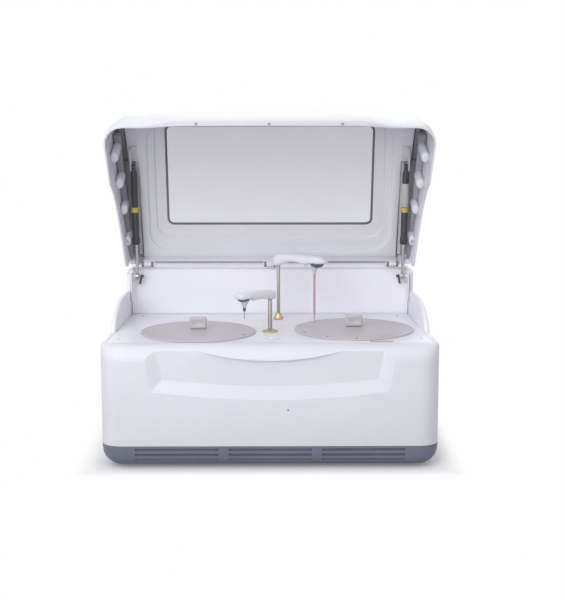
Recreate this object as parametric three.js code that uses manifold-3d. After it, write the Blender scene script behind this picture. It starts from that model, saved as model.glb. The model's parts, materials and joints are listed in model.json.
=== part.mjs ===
// Benchtop chemistry analyzer with its lid open, in millimetres, +Z up.
// The origin is on the bench, under the middle of the cabinet. The front faces -Y.

import * as THREE from 'three';
import { mergeVertices } from 'three/addons/utils/BufferGeometryUtils.js';
import Module from 'manifold-3d';

const wasm = await Module();
wasm.setup();

// Driving dimensions

const fit = {
  gap: 0.3, // between pieces that touch
  seam: 0.6, // between covers, where the joint line shows
  overrun: 5, // how far a cutting tool runs past what it cuts
  slack: 1, // round a piece that is lifted out by hand
  weld: 0.0001, // points closer than this are one point
};

const cabinet = {
  width: 760,
  rearWidth: 704,
  depth: 560,
  cornerRadius: 46,
  rearRadius: 8,
  leastRadius: 2,
  wall: 4,
  shoulderRadius: 35, // along the front top edge
  edgeRadius: 8, // along the side top edges
  seamDepth: 48, // from the front face to the joint of front and side covers
};

const tray = {
  bottom: 7,
  top: 52.5,
  wall: 4,
  sideRadius: 38,
  endRadius: 24,
  bossRadius: 9,
  bossTop: 47.5,
  bossInset: 90, // from the sides and the ends
};

const trayVent = { groups: 3, pitch: 209, length: 186, rows: 3, rowPitch: 11.5, lowRow: 22, height: 5 };

const foot = { radius: 20, sole: 17, sideInset: 100, endInset: 80 };

const chassis = { thick: 2.5 };

const frontRecess = {
  depth: 9,
  outerHalf: 283,
  floorHalf: 256,
  footShare: 0.94, // how much narrower the recess is at its foot
  outerFoot: 178,
  outerSag: 19,
  floorFoot: 204,
  floorSag: 15,
  lipHalf: 190,
  lipDip: 30,
  top: 277,
};

const deck = { top: 280, thick: 4 };

const wing = {
  thick: 12,
  round: 5,
  railHeight: 12,
  start: 172, // depth at which the wing rises from the deck
  bendDepth: 200,
  bendHeight: 335,
  flatDepth: 320,
  flatHeight: 342,
};

const rearHousing = {
  postInset: 132, // from the cabinet's back
  wallInset: 118,
  wallThick: 4,
  top: 398,
  capHeight: 16,
  capRadius: 15,
  postWidth: 17,
  coveRadius: 12,
  backRound: 10,
};

const rearPanel = { inset: 8, thick: 2, topInset: 3 };

const fan = {
  x: -190,
  z: 240,
  size: 92,
  thick: 24,
  bore: 42,
  hub: 15,
  rimGap: 2,
  blades: 7,
  bladeThick: 2.4,
  bladeDepth: 14,
  bladeTwist: 0.6,
  hubDepth: 16,
  strut: 4,
};

const inlet = { x: 230, z: 110, width: 48, height: 28, depth: 24, cavity: 16, cavityWall: 6, flange: 5 };

const rocker = { x: 290, z: 110, width: 22, height: 30, depth: 10, stand: 3, dishShare: 0.16, play: 0.6 };

const hinge = {
  z: 407, // over the front of the rear posts
  xs: [-306, 0, 306],
  knuckle: 6,
  pin: 2.5,
  middle: 12,
  width: 30,
  plate: 2.5,
  footLength: 20,
  leafHeight: 26,
};

const lid = {
  open: 74.1, // degrees from closed to the rest pose
  front: 398.5,
  rear: -2, // from the hinge line, forward
  frontWidth: 770,
  rearWidth: 714,
  cornerRadius: 44,
  rearRadius: 30,
  top: 58,
  topRadius: 32,
  lean: 23,
  sideLean: 3,
  leanFoot: 80,
  wall: 4,
  edgeGap: 4,
  rimGap: 3,
  heelLength: 16,
  heelRadius: 12,
};

// The middle of the lid's front edge, which stands forward to be gripped.
const brow = { half: 205, run: 95, rise: 14, mouthRise: 5 };

const liner = {
  thick: 3,
  border: 27,
  stepOne: 37,
  stepTwo: 42,
  frontLength: 368,
  rearLength: 9,
  frontHalf: 352,
  notchHalf: 344,
  notchLength: 262,
  strutHalf: 320,
  rearHalf: 316,
  stepOneHalf: 300,
  stepOneRear: 26,
  stepOneRadius: 48,
  stepTwoHalf: 281,
  stepTwoRear: 58,
  stepTwoRadius: 34,
  stepInset: 8,
};

const windowPane = {
  half: 255,
  rear: 90,
  front: 350,
  radius: 16,
  gasket: 4.5,
  lap: 7,
  thick: 4,
  returnWall: 3,
};

const strut = {
  x: 331,
  footAhead: 8, // of the rear post
  footZ: 378,
  headLength: 254,
  headHeight: 8,
  radius: 8,
  body: 196,
  collar: 16,
  collarRadius: 9.5,
  rodRadius: 4,
  inserted: 62,
  boreDepth: 125,
  eyeRadius: 8,
  eyeThick: 8,
  pinRadius: 3,
  plate: 3,
  bracketHeight: 28,
  bracketLength: 22,
  studLength: 30,
};

const disc = { rimHeight: 3, rise: 4.5, lip: 2, skin: 2.5, sides: 48 };

const tub = { wall: 3, depth: 86, flange: 6, spindleHole: 12 };

const carousel = {
  wall: 3,
  floorGap: 3,
  topDrop: 14,
  hubRadius: 30,
  hubHeight: 44,
  shaft: 4,
  shaftLength: 42,
};

const sampleDisc = { x: -167.8, depth: 180.6, radius: 133.7, ring: 78 };

const reactionDisc = { x: 197.7, depth: 209.8, radius: 140.4, ring: 108 };

const knob = { width: 40, thick: 14, height: 28, round: 5, neck: 3 };

const spindleMotor = { width: 56, height: 44, chamfer: 8 };

const port = { radius: 5.5 };

const washWell = { radius: 7, wall: 2.5, depth: 30 };

const sleeve = { wall: 4, below: 18 };

const armDrive = { half: 19, slot: 8 };

const shortArm = {
  x: 0,
  depth: 186,
  rest: -134.5, // heading of the needle from the post, in degrees
  swing: 116.4,
  reach: 84.1,
  postRadius: 5,
  postFoot: 165,
  flange: 18,
  flangeHeight: 6,
  housingFoot: 356,
  housingHeight: 27,
  housingWidth: 34,
  coneRadius: 12,
  coneDrop: 9,
  sheathRadius: 3.4,
  bare: 18.5, // of the needle, below its sheath
  needleRadius: 1.1,
  tip: 320,
  driveBore: 115,
};

const tallArm = {
  x: 20.5,
  depth: 356,
  rest: -32.9,
  swing: -75,
  reach: 103,
  postRadius: 4,
  postFoot: 165,
  flange: 11,
  flangeHeight: 15,
  housingFoot: 412,
  housingHeight: 33,
  housingWidth: 34,
  coneRadius: 11,
  coneDrop: 12,
  sheathRadius: 2.8,
  bare: 14,
  needleRadius: 1.1,
  tip: 288,
  driveBore: 100,
};

const washHeading = -88.6; // where the short arm rinses its needle

const powerSupply = { x: 150, depth: 400, width: 200, length: 110, height: 62, lip: 8, slots: 6, slot: 5 };

const board = {
  x: -150,
  depth: 430,
  width: 220,
  length: 160,
  thick: 2,
  stand: 8,
  standRadius: 4,
  chip: 34,
  chipHeight: 6,
};

const photometer = { x: 197.7, depth: 70, width: 120, length: 40, height: 96, lamp: 18, lampLength: 26 };

const syringe = {
  x: -70,
  depth: 90,
  width: 54,
  length: 46,
  height: 90,
  bore: 9,
  stroke: 25,
  rod: 4,
  cap: 14,
  capHeight: 7,
};

// Places that several pieces share

const atDepth = (depth) => depth - cabinet.depth / 2;
const degrees = (angle) => THREE.MathUtils.degToRad(angle);
const mix = THREE.MathUtils.lerp;

const frontY = atDepth(0);
const backY = atDepth(cabinet.depth);
const chassisZ = tray.bossTop + fit.gap;
const benchTopZ = chassisZ + chassis.thick + fit.gap;
const coverFoot = tray.top + fit.seam;
const capFoot = rearHousing.top - rearHousing.capHeight;
const postY = backY - rearHousing.postInset;
const wallY = backY - rearHousing.wallInset;
const wallBack = wallY + rearHousing.wallThick;
const hingeY = postY;
const strutFootY = postY - strut.footAhead;
const deckFoot = deck.top - deck.thick;

// Half the cabinet's width at a place along its depth: the side walls draw in towards the back.
function halfWidth(y) {
  const along = (y - frontY - cabinet.cornerRadius) / (cabinet.depth - cabinet.cornerRadius);
  return mix(cabinet.width, cabinet.rearWidth, along) / 2;
}

// Where an arm's needle stands over the deck when it is turned from its rest heading.
function needlePlace(arm, turn) {
  const heading = degrees(arm.rest + turn);
  return [arm.x + arm.reach * Math.cos(heading), atDepth(arm.depth) + arm.reach * Math.sin(heading)];
}

// Solids

function weld(geometry) {
  const bare = new THREE.BufferGeometry();
  bare.setAttribute('position', geometry.getAttribute('position').clone());
  if (geometry.index) bare.setIndex(geometry.index.clone());
  const merged = mergeVertices(bare, fit.weld);
  const kept = [];
  const index = merged.index.array;
  for (let i = 0; i < index.length; i += 3) {
    const [a, b, c] = [index[i], index[i + 1], index[i + 2]];
    if (a !== b && b !== c && c !== a) kept.push(a, b, c);
  }
  merged.setIndex(kept);
  return merged;
}

function signedVolume(geometry) {
  const points = geometry.getAttribute('position');
  const index = geometry.index.array;
  const [a, b, c] = [new THREE.Vector3(), new THREE.Vector3(), new THREE.Vector3()];
  let volume = 0;
  for (let i = 0; i < index.length; i += 3) {
    a.fromBufferAttribute(points, index[i]);
    b.fromBufferAttribute(points, index[i + 1]);
    c.fromBufferAttribute(points, index[i + 2]);
    volume += a.dot(b.cross(c)) / 6;
  }
  return volume;
}

// The geometry with shared points merged and its faces pointing out.
function outward(geometry) {
  const closed = weld(geometry);
  if (signedVolume(closed) < 0) closed.setIndex([...closed.index.array].reverse());
  return closed;
}

function solid(geometry) {
  const closed = outward(geometry);
  return new wasm.Manifold(new wasm.Mesh({
    numProp: 3,
    vertProperties: new Float32Array(closed.getAttribute('position').array),
    triVerts: new Uint32Array(closed.index.array),
  }));
}

function shapeOf(body) {
  const mesh = body.getMesh();
  const geometry = new THREE.BufferGeometry();
  geometry.setAttribute('position', new THREE.Float32BufferAttribute(mesh.vertProperties, 3));
  geometry.setIndex([...mesh.triVerts]);
  return geometry;
}

const join = (...geometries) => shapeOf(geometries.map(solid).reduce((whole, next) => whole.add(next)));
const cut = (body, ...tools) => shapeOf(
  tools.map(solid).reduce((rest, tool) => rest.subtract(tool), solid(body)),
);
const common = (one, other) => shapeOf(solid(one).intersect(solid(other)));

function block([x0, x1], [y0, y1], [z0, z1]) {
  const box = new THREE.BoxGeometry(x1 - x0, y1 - y0, z1 - z0);
  return box.translate((x0 + x1) / 2, (y0 + y1) / 2, (z0 + z1) / 2);
}

function drum(radius, [z0, z1], [x, y] = [0, 0], sides = 32) {
  const cylinder = new THREE.CylinderGeometry(radius, radius, z1 - z0, sides);
  return cylinder.rotateX(Math.PI / 2).translate(x, y, (z0 + z1) / 2);
}

function crossPin(radius, [x0, x1], [y, z] = [0, 0], sides = 24) {
  const cylinder = new THREE.CylinderGeometry(radius, radius, x1 - x0, sides);
  return cylinder.rotateZ(Math.PI / 2).translate((x0 + x1) / 2, y, z);
}

// A body of revolution about Z, from a closed outline of [radius, height] pairs.
function turned(outline, sides) {
  const points = [...outline, outline[0]].map(([radius, z]) => new THREE.Vector2(radius, z));
  return new THREE.LatheGeometry(points, sides).rotateX(Math.PI / 2);
}

function shapeFrom(points) {
  return new THREE.Shape(points.map(([u, v]) => new THREE.Vector2(u, v)));
}

// A plan outline raised between two heights.
function raised(points, [z0, z1], holes = []) {
  const shape = shapeFrom(points);
  shape.holes = holes.map(shapeFrom);
  return new THREE.ExtrudeGeometry(shape, { depth: z1 - z0, bevelEnabled: false }).translate(0, 0, z0);
}

const sideways = new THREE.Matrix4().makeBasis(
  new THREE.Vector3(0, 1, 0),
  new THREE.Vector3(0, 0, 1),
  new THREE.Vector3(1, 0, 0),
);

// A side outline of [y, z] pairs, carried across from x0 to x1, with its edges rounded.
function acrossX(points, [x0, x1], round = 0) {
  const geometry = new THREE.ExtrudeGeometry(shapeFrom(points), {
    depth: x1 - x0 - 2 * round,
    bevelEnabled: round > 0,
    bevelSize: round,
    bevelThickness: round,
    bevelOffset: -round,
    bevelSegments: 3,
  });
  return geometry.applyMatrix4(sideways).translate(x0 + round, 0, 0);
}

// A skin through rings of equally many points, closed by a cap at each end.
function loft(rings) {
  const count = rings[0].length;
  const index = [];
  for (let ring = 0; ring + 1 < rings.length; ring += 1) {
    for (let i = 0; i < count; i += 1) {
      const j = (i + 1) % count;
      const [a, b] = [ring * count + i, ring * count + j];
      index.push(a, b, b + count, a, b + count, a + count);
    }
  }
  const spans = [0, 1, 2].map((axis) => {
    const along = rings[0].map((point) => point[axis]);
    return Math.max(...along) - Math.min(...along);
  });
  const flat = spans.indexOf(Math.min(...spans));
  const [u, v] = [0, 1, 2].filter((axis) => axis !== flat);
  const cap = (ring, first, turn) => {
    const contour = ring.map((point) => new THREE.Vector2(point[u], point[v]));
    const turns = THREE.ShapeUtils.isClockWise(contour) ? -turn : turn;
    const faces = THREE.ShapeUtils.triangulateShape(contour, []);
    faces.forEach((face) => {
      const [a, b, c] = turns > 0 ? face : [...face].reverse();
      index.push(first + a, first + b, first + c);
    });
  };
  const start = rings[0].map((point) => new THREE.Vector2(point[u], point[v]));
  const sense = THREE.ShapeUtils.isClockWise(start) ? 1 : -1;
  cap(rings[0], 0, sense);
  cap(rings[rings.length - 1], (rings.length - 1) * count, -sense);
  const geometry = new THREE.BufferGeometry();
  geometry.setAttribute('position', new THREE.Float32BufferAttribute(rings.flat(2), 3));
  geometry.setIndex(index);
  return geometry;
}

// How far a rounded edge has drawn in, at a distance from the flat that it runs into.
function drawnIn(radius, distance) {
  if (distance >= radius) return 0;
  return radius - Math.sqrt(radius ** 2 - (radius - distance) ** 2);
}

const shares = (steps) => Array.from({ length: steps + 1 }, (_, i) => i / steps);

// The points of a front edge whose middle stands forward, from left to right.
function browPoints({ front, middle }, z, inset) {
  if (!middle) return [];
  const right = shares(4).map((share) => {
    const lift = middle.rise * share ** 2 * (3 - 2 * share);
    return [middle.half + middle.run * (1 - share), front + inset.front - lift, z];
  });
  return [...right.map(([x, y]) => [-x, y, z]), ...right.reverse()];
}

// A plan outline with rounded corners, wider at the front than at the back, as one ring.
function planRing(plan, z, inset) {
  const { front, back, frontHalf, backHalf, frontRadius, backRadius } = plan;
  const corner = (half, edge, inward, radius, edgeInset, from) => {
    const rx = Math.max(radius - (inset.corner ?? inset.side), cabinet.leastRadius);
    const ry = Math.max(radius - (inset.corner ?? edgeInset), cabinet.leastRadius);
    const [cx, cy] = [half - inset.side - rx, edge + inward * (edgeInset + ry)];
    return shares(5).map((share) => {
      const angle = from + share * Math.PI / 2;
      return [cx + rx * Math.cos(angle), cy + ry * Math.sin(angle), z];
    });
  };
  const right = [
    ...corner(frontHalf, front, 1, frontRadius, inset.front, -Math.PI / 2),
    ...corner(backHalf, back, -1, backRadius, inset.back, 0),
  ];
  return [...right, ...right.map(([x, y]) => [-x, y, z]).reverse(), ...browPoints(plan, z, inset)];
}

const cabinetPlan = {
  front: frontY,
  back: backY,
  frontHalf: cabinet.width / 2,
  backHalf: cabinet.rearWidth / 2,
  frontRadius: cabinet.cornerRadius,
  backRadius: cabinet.rearRadius,
};

// A rectangle in plan with round corners, as a list of points.
function roundedPlan([x0, x1], [y0, y1], radius, steps = 5) {
  const corners = [[x1, y0, -1], [x1, y1, 0], [x0, y1, 1], [x0, y0, 2]];
  return corners.flatMap(([x, y, quarter]) => {
    const cx = x === x1 ? x - radius : x + radius;
    const cy = y === y1 ? y - radius : y + radius;
    return shares(steps).map((share) => {
      const angle = (quarter + share) * Math.PI / 2;
      return [cx + radius * Math.cos(angle), cy + radius * Math.sin(angle)];
    });
  });
}

// Finishes

function finish(color, roughness, metalness = 0) {
  return new THREE.MeshStandardMaterial({ color, roughness, metalness });
}

const whitePlastic = finish(0xe3e5ef, 0.45);
const greyPlastic = finish(0xc9c8cf, 0.5);
const bluePlastic = finish(0x666974, 0.55);
const smokedPlastic = finish(0xb9b2b8, 0.35);
const smokedPane = finish(0xd2d1da, 0.15);
const blackRubber = finish(0x2b2c2f, 0.85);
const gasketRubber = finish(0x6f6e75, 0.8);
const sheetSteel = finish(0xb8bac0, 0.4, 0.8);
const brightSteel = finish(0xa7a199, 0.25, 0.9);
const strutBlack = finish(0x45474b, 0.4, 0.3);
const strutRod = finish(0xa9abb0, 0.2, 0.9);
const brassFinish = finish(0xb3a283, 0.4, 0.7);
const blackPlastic = finish(0x26272a, 0.5);
const castAlloy = finish(0x8d9096, 0.5, 0.7);
const boardGreen = finish(0x2c5a3f, 0.6);
const needleFinish = finish(0xc3b7c0, 0.3, 0.5);

const analyzer = new THREE.Group();
analyzer.name = 'chemistry_analyzer';

function add(name, geometry, material, parent = analyzer) {
  const mesh = new THREE.Mesh(outward(geometry), material);
  mesh.name = name;
  parent.add(mesh);
  return mesh;
}

// Base tray, chassis plate and feet

function trayLoft(inset, bottom, top) {
  const levels = [...shares(5).map((share) => bottom + share ** 1.6 * tray.sideRadius), top];
  return loft(levels.map((z) => planRing(cabinetPlan, z, {
    front: inset + drawnIn(tray.endRadius, z - bottom),
    side: inset + drawnIn(tray.sideRadius, z - bottom),
    back: inset + drawnIn(tray.endRadius, z - bottom),
  })));
}

function baseTray() {
  const pan = cut(
    trayLoft(0, tray.bottom, tray.top),
    trayLoft(tray.wall, tray.bottom + tray.wall, tray.top + fit.overrun),
  );
  const bossX = cabinet.width / 2 - tray.bossInset;
  const bossY = backY - tray.bossInset;
  const bosses = [-bossY, 0, bossY].flatMap((y) => [-bossX, bossX].map((x) => drum(
    tray.bossRadius,
    [tray.bottom + tray.wall / 2, tray.bossTop],
    [x, y],
    20,
  )));
  const slots = [];
  for (let group = 0; group < trayVent.groups; group += 1) {
    const x = (group - (trayVent.groups - 1) / 2) * trayVent.pitch;
    for (let row = 0; row < trayVent.rows; row += 1) {
      const z = trayVent.lowRow + row * trayVent.rowPitch;
      slots.push(block(
        [x - trayVent.length / 2, x + trayVent.length / 2],
        [frontY - fit.overrun, frontY + tray.wall + fit.overrun],
        [z - trayVent.height / 2, z + trayVent.height / 2],
      ));
    }
  }
  return cut(join(pan, ...bosses), ...slots);
}

add('base_tray', baseTray(), bluePlastic);

const chassisInset = tray.wall + fit.gap;
add('chassis_plate', raised(
  planRing(cabinetPlan, 0, { front: chassisInset, side: chassisInset, back: chassisInset }),
  [chassisZ, chassisZ + chassis.thick],
), sheetSteel);

const footX = cabinet.width / 2 - foot.sideInset;
for (const [end, y] of [['front', frontY + foot.endInset], ['rear', backY - foot.endInset]]) {
  for (const [side, x] of [['left', -footX], ['right', footX]]) {
    const pad = turned([
      [0, 0],
      [foot.sole, 0],
      [foot.radius, foot.radius - foot.sole],
      [foot.radius, tray.bottom - fit.gap],
      [0, tray.bottom - fit.gap],
    ], 32);
    add(`foot_${end}_${side}`, pad.translate(x, y, 0), blackRubber);
  }
}

// Front cover with its pressed-in panel

function frontLoft(inset, bottom, top) {
  const radius = cabinet.shoulderRadius - inset;
  const edge = Math.max(cabinet.edgeRadius - inset, cabinet.leastRadius);
  const levels = [bottom, ...shares(7).map((share) => top - radius * (1 - Math.sin(share * Math.PI / 2)))];
  return loft(levels.map((z) => planRing(cabinetPlan, z, {
    front: inset + drawnIn(radius, top - z),
    side: inset + drawnIn(edge, top - z),
    back: inset,
  })));
}

// The recess seen from the front, as [x, z] pairs: straight flanks, a sagging foot and a lip that dips.
function recessRing(y, half, footZ, sag, grow) {
  const footHalf = half * frontRecess.footShare;
  const foot = shares(8).map((share) => {
    const x = mix(-footHalf - grow, footHalf + grow, share);
    return [x, y, footZ - grow - sag * (1 - (2 * share - 1) ** 2)];
  });
  const lip = shares(8).map((share) => {
    const x = mix(frontRecess.lipHalf, -frontRecess.lipHalf, share);
    return [x, y, frontRecess.top + grow - frontRecess.lipDip * (1 - (2 * share - 1) ** 2)];
  });
  const top = frontRecess.top + grow;
  return [...foot, [half + grow, y, top], ...lip, [-half - grow, y, top]];
}

function recessLoft(from, to, grow) {
  return loft([
    recessRing(from, frontRecess.outerHalf, frontRecess.outerFoot, frontRecess.outerSag, grow),
    recessRing(to, frontRecess.floorHalf, frontRecess.floorFoot, frontRecess.floorSag, grow),
  ]);
}

function frontCover() {
  const outer = frontLoft(0, coverFoot, deck.top);
  const inner = frontLoft(cabinet.wall, coverFoot - fit.overrun, deck.top - cabinet.wall);
  const floorY = frontY + frontRecess.depth;
  const backing = common(recessLoft(frontY, floorY + cabinet.wall, cabinet.wall), outer);
  const reach = frontY + cabinet.seamDepth;
  const keep = block(
    [-cabinet.width, cabinet.width],
    [frontY - fit.overrun, reach],
    [0, deck.top + fit.overrun],
  );
  return common(cut(join(cut(outer, inner), backing), recessLoft(frontY, floorY, 0)), keep);
}

add('front_cover', frontCover(), whitePlastic);

// Side covers, each with its wing and rear post

function wingCurve() {
  const curve = new THREE.QuadraticBezierCurve(
    new THREE.Vector2(atDepth(wing.start), deck.top),
    new THREE.Vector2(atDepth(wing.bendDepth), wing.bendHeight),
    new THREE.Vector2(atDepth(wing.flatDepth), wing.flatHeight),
  );
  return curve.getPoints(12).map((point) => [point.x, point.y]);
}

const coverFront = frontY + cabinet.seamDepth + fit.seam;
const coverBack = backY - cabinet.leastRadius;

function sideCover(side) {
  const outerX = cabinet.width / 2;
  const innerX = outerX - wing.thick;
  const past = 2 * wing.round;
  const outline = [
    [coverFront - past, coverFoot - past],
    [coverFront - past, deck.top],
    ...wingCurve(),
    [postY, wing.flatHeight],
    [postY, capFoot + past],
    [coverBack + past, capFoot + past],
    [coverBack + past, coverFoot - past],
  ];
  const keep = block([innerX, outerX], [coverFront, coverBack], [coverFoot, capFoot - fit.gap]);
  const pocketX = [innerX - fit.overrun, outerX - cabinet.wall];
  const underRail = block(
    pocketX,
    [coverFront - fit.overrun, coverBack + fit.overrun],
    [coverFoot - fit.overrun, deck.top - wing.railHeight],
  );
  const behindPost = block(
    pocketX,
    [wallBack, coverBack + fit.overrun],
    [coverFoot, capFoot + fit.overrun],
  );
  const cover = cut(common(acrossX(outline, [innerX, outerX], wing.round), keep), underRail, behindPost);
  const points = cover.getAttribute('position');
  for (let i = 0; i < points.count; i += 1) {
    points.setX(i, side * (points.getX(i) - outerX + halfWidth(points.getY(i))));
  }
  return cover;
}

add('left_side_cover', sideCover(-1), whitePlastic);
add('right_side_cover', sideCover(1), whitePlastic);

// Work deck with its two apertures, the arm holes and the wash wells

const discPlace = ({ x, depth }) => [x, atDepth(depth)];
const postPlace = ({ x, depth }) => [x, atDepth(depth)];
const washPlaces = [
  needlePlace(shortArm, washHeading - shortArm.rest),
  needlePlace(tallArm, tallArm.swing),
];
const sleeveRadius = (arm) => arm.postRadius + fit.gap + sleeve.wall;

function workDeck() {
  const edge = (y) => halfWidth(y) - wing.thick - fit.gap;
  const plate = raised([
    [-edge(coverFront), coverFront],
    [edge(coverFront), coverFront],
    [edge(wallBack), wallBack],
    [-edge(wallBack), wallBack],
  ], [deckFoot, deck.top]);
  const cupFoot = deck.top - washWell.depth;
  const cups = washPlaces.map((place) => drum(
    washWell.radius + washWell.wall,
    [cupFoot, deckFoot + deck.thick / 2],
    place,
    24,
  ));
  const through = [deckFoot - fit.overrun, deck.top + fit.overrun];
  const mouth = (each) => drum(each.radius - disc.lip, through, discPlace(each), disc.sides);
  return cut(
    join(plate, ...cups),
    mouth(sampleDisc),
    mouth(reactionDisc),
    ...[shortArm, tallArm].map((arm) => drum(sleeveRadius(arm) + fit.gap, through, postPlace(arm), 24)),
    ...washPlaces.map((place) => drum(
      washWell.radius,
      [cupFoot + washWell.wall, deck.top + fit.overrun],
      place,
      24,
    )),
  );
}

add('work_deck', workDeck(), whitePlastic);

// Back wall, rear cover and rear panel

const returnX = halfWidth(postY) - rearHousing.postWidth;

function backWall() {
  const end = halfWidth(wallBack) - wing.thick - fit.gap;
  const cove = shares(5).map((share) => {
    const angle = share * Math.PI / 2;
    return [
      returnX - rearHousing.coveRadius * (1 - Math.cos(angle)),
      wallY - rearHousing.coveRadius * (1 - Math.sin(angle)),
    ];
  });
  const right = [[end, wallBack], [end, postY], [returnX, postY], ...cove];
  const left = right.map(([x, y]) => [-x, y]).reverse();
  return raised([...right, ...left], [deck.top + fit.gap, rearHousing.top - cabinet.wall - fit.seam]);
}

add('back_wall', backWall(), whitePlastic);

// The cap's section across the cabinet: a flat top with round shoulders and short skirts.
function capRing(y, drop) {
  const half = halfWidth(y) - drop;
  const top = rearHousing.top - drop;
  const arch = (inset, radius) => shares(5).map((share) => {
    const angle = share * Math.PI / 2;
    return [
      half - inset - radius + radius * Math.cos(angle),
      y,
      top - inset - radius + radius * Math.sin(angle),
    ];
  });
  const { wall } = cabinet;
  const outer = [[half, y, capFoot], ...arch(0, rearHousing.capRadius - drop)];
  const inner = [[half - wall, y, capFoot], ...arch(wall, rearHousing.capRadius - wall)];
  const right = [...inner.reverse(), ...outer];
  const left = right.map(([x, , z]) => [-x, y, z]).reverse();
  return [...right, ...left];
}

function rearTopCover() {
  const { backRound, capRadius } = rearHousing;
  const rings = [[postY, 0], [backY - backRound, 0]];
  for (const share of [0.5, 1]) {
    const angle = share * Math.PI / 2;
    const drop = backRound * (1 - Math.cos(angle)) * backRound / capRadius;
    rings.push([backY - backRound * (1 - Math.sin(angle)), drop]);
  }
  const overDeck = block(
    [-returnX, returnX],
    [postY - fit.overrun, wallY],
    [capFoot - fit.overrun, rearHousing.top + fit.overrun],
  );
  return cut(loft(rings.map(([y, drop]) => capRing(y, drop))), overDeck);
}

add('rear_top_cover', rearTopCover(), whitePlastic);

const panelY = [backY - rearPanel.inset, backY - rearPanel.inset + rearPanel.thick];

function fanPlace(geometry) {
  return geometry.rotateX(Math.PI / 2).translate(fan.x, 0, fan.z);
}

function rearSheet() {
  const half = halfWidth(panelY[1]) - cabinet.wall - fit.gap;
  const top = rearHousing.top - cabinet.wall - rearPanel.topInset;
  const neck = half - rearPanel.topInset;
  const right = [
    [half, coverFoot],
    [half, capFoot - fit.gap],
    [neck, capFoot - fit.gap],
    [neck - rearHousing.capRadius, top],
  ];
  const outline = [...right, ...right.map(([x, z]) => [-x, z]).reverse()];
  const sheet = raised(outline, [-panelY[1], -panelY[0]]).rotateX(Math.PI / 2);
  const through = [panelY[0] - fit.overrun, panelY[1] + fit.overrun];
  const hole = ({ x, z, width, height }) => block(
    [x - width / 2 - fit.gap, x + width / 2 + fit.gap],
    through,
    [z - height / 2 - fit.gap, z + height / 2 + fit.gap],
  );
  const fanHole = fanPlace(drum(fan.bore, [-through[1], -through[0]], [0, 0], 40));
  return cut(sheet, hole(inlet), hole(rocker), fanHole);
}

add('rear_panel', rearSheet(), sheetSteel);

// Mains inlet, power switch and fan on the rear panel

function mainsInlet() {
  const { x, z, width, height } = inlet;
  const box = (grow, y) => block(
    [x - width / 2 + -grow, x + width / 2 + grow],
    y,
    [z - height / 2 - grow, z + height / 2 + grow],
  );
  const back = panelY[1] + fit.gap;
  const housing = box(0, [panelY[1] - inlet.depth, back + cabinet.wall / 2]);
  const flange = box(inlet.flange, [back, back + cabinet.wall / 2]);
  const cavity = box(-inlet.cavityWall, [back + cabinet.wall - inlet.cavity, back + cabinet.wall]);
  return cut(join(housing, flange), cavity);
}

add('power_inlet', mainsInlet(), blackPlastic);

function rockerSwitch() {
  const { width, height, depth, stand, dishShare } = rocker;
  const outline = [
    [-depth, -height / 2],
    [-depth, height / 2],
    [stand, height / 2],
    [stand - height * dishShare / 2, 0],
    [stand, -height / 2],
  ];
  const play = 1 - 2 * rocker.play / height;
  return acrossX(outline.map(([y, z]) => [y, z * play]), [-width / 2, width / 2]);
}

const switchGroup = new THREE.Group();
switchGroup.position.set(rocker.x, panelY[1] + fit.gap, rocker.z);
analyzer.add(switchGroup);
add('power_switch', rockerSwitch(), blackPlastic, switchGroup);

const fanFront = [-(panelY[0] - fit.gap), -(panelY[0] - fit.gap - fan.thick)];

function fanFrame() {
  const half = fan.size / 2;
  const [near, far] = fanFront;
  const shell = cut(
    block([-half, half], [-half, half], [near, far]),
    drum(fan.bore, [near - fit.overrun, far + fit.overrun], [0, 0], 40),
  );
  const bar = [far - fan.strut, far];
  const spider = join(
    shell,
    drum(fan.hub, bar, [0, 0], 24),
    block([-half, half], [-fan.strut / 2, fan.strut / 2], bar),
    block([-fan.strut / 2, fan.strut / 2], [-half, half], bar),
  );
  return fanPlace(spider);
}

add('fan_frame', fanFrame(), blackPlastic);

function fanRotor() {
  const [near, far] = fanFront;
  const hubTo = far - fan.strut - fit.gap;
  const hubFrom = hubTo - fan.hubDepth;
  const middle = (hubFrom + hubTo) / 2;
  const blades = [];
  for (let i = 0; i < fan.blades; i += 1) {
    const blade = block(
      [fan.hub / 2, fan.bore - fan.rimGap],
      [-fan.bladeThick / 2, fan.bladeThick / 2],
      [-fan.bladeDepth / 2, fan.bladeDepth / 2],
    );
    blades.push(blade.rotateX(fan.bladeTwist).rotateZ(i * 2 * Math.PI / fan.blades).translate(0, 0, middle));
  }
  const swept = join(drum(fan.hub, [hubFrom, hubTo], [0, 0], 24), ...blades);
  const keep = drum(fan.bore - fan.rimGap, [near, hubTo], [0, 0], 40);
  return fanPlace(common(swept, keep));
}

add('fan_rotor', fanRotor(), blackPlastic);

// Hinges: a foot with the middle knuckle and the pin, and a leaf with the outer knuckles

function hingeBase(x) {
  const middle = [x - hinge.middle / 2, x + hinge.middle / 2];
  const whole = [x - hinge.width / 2, x + hinge.width / 2];
  const footZ = rearHousing.top + fit.gap;
  const footY = [wallY + fit.gap, wallY + fit.gap + hinge.footLength];
  const foot = block(whole, footY, [footZ, footZ + hinge.plate]);
  const neck = acrossX([
    [footY[0] + hinge.footLength / 2, footZ],
    [footY[0] + hinge.footLength / 2, footZ + hinge.plate],
    [hingeY + hinge.pin, hinge.z + hinge.pin],
    [hingeY, footZ + hinge.plate],
    [footY[0], footZ],
  ], middle);
  return join(
    foot,
    neck,
    crossPin(hinge.knuckle, middle, [hingeY, hinge.z]),
    crossPin(hinge.pin, whole, [hingeY, hinge.z], 16),
  );
}

const lidGroup = new THREE.Group();
lidGroup.position.set(0, hingeY, hinge.z);
lidGroup.rotation.x = -degrees(lid.open);
analyzer.add(lidGroup);

// In the lid's own frame the hinge line is X, the closed lid reaches forward along -Y and rises along +Z.
const along = (length) => -length;

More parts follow.
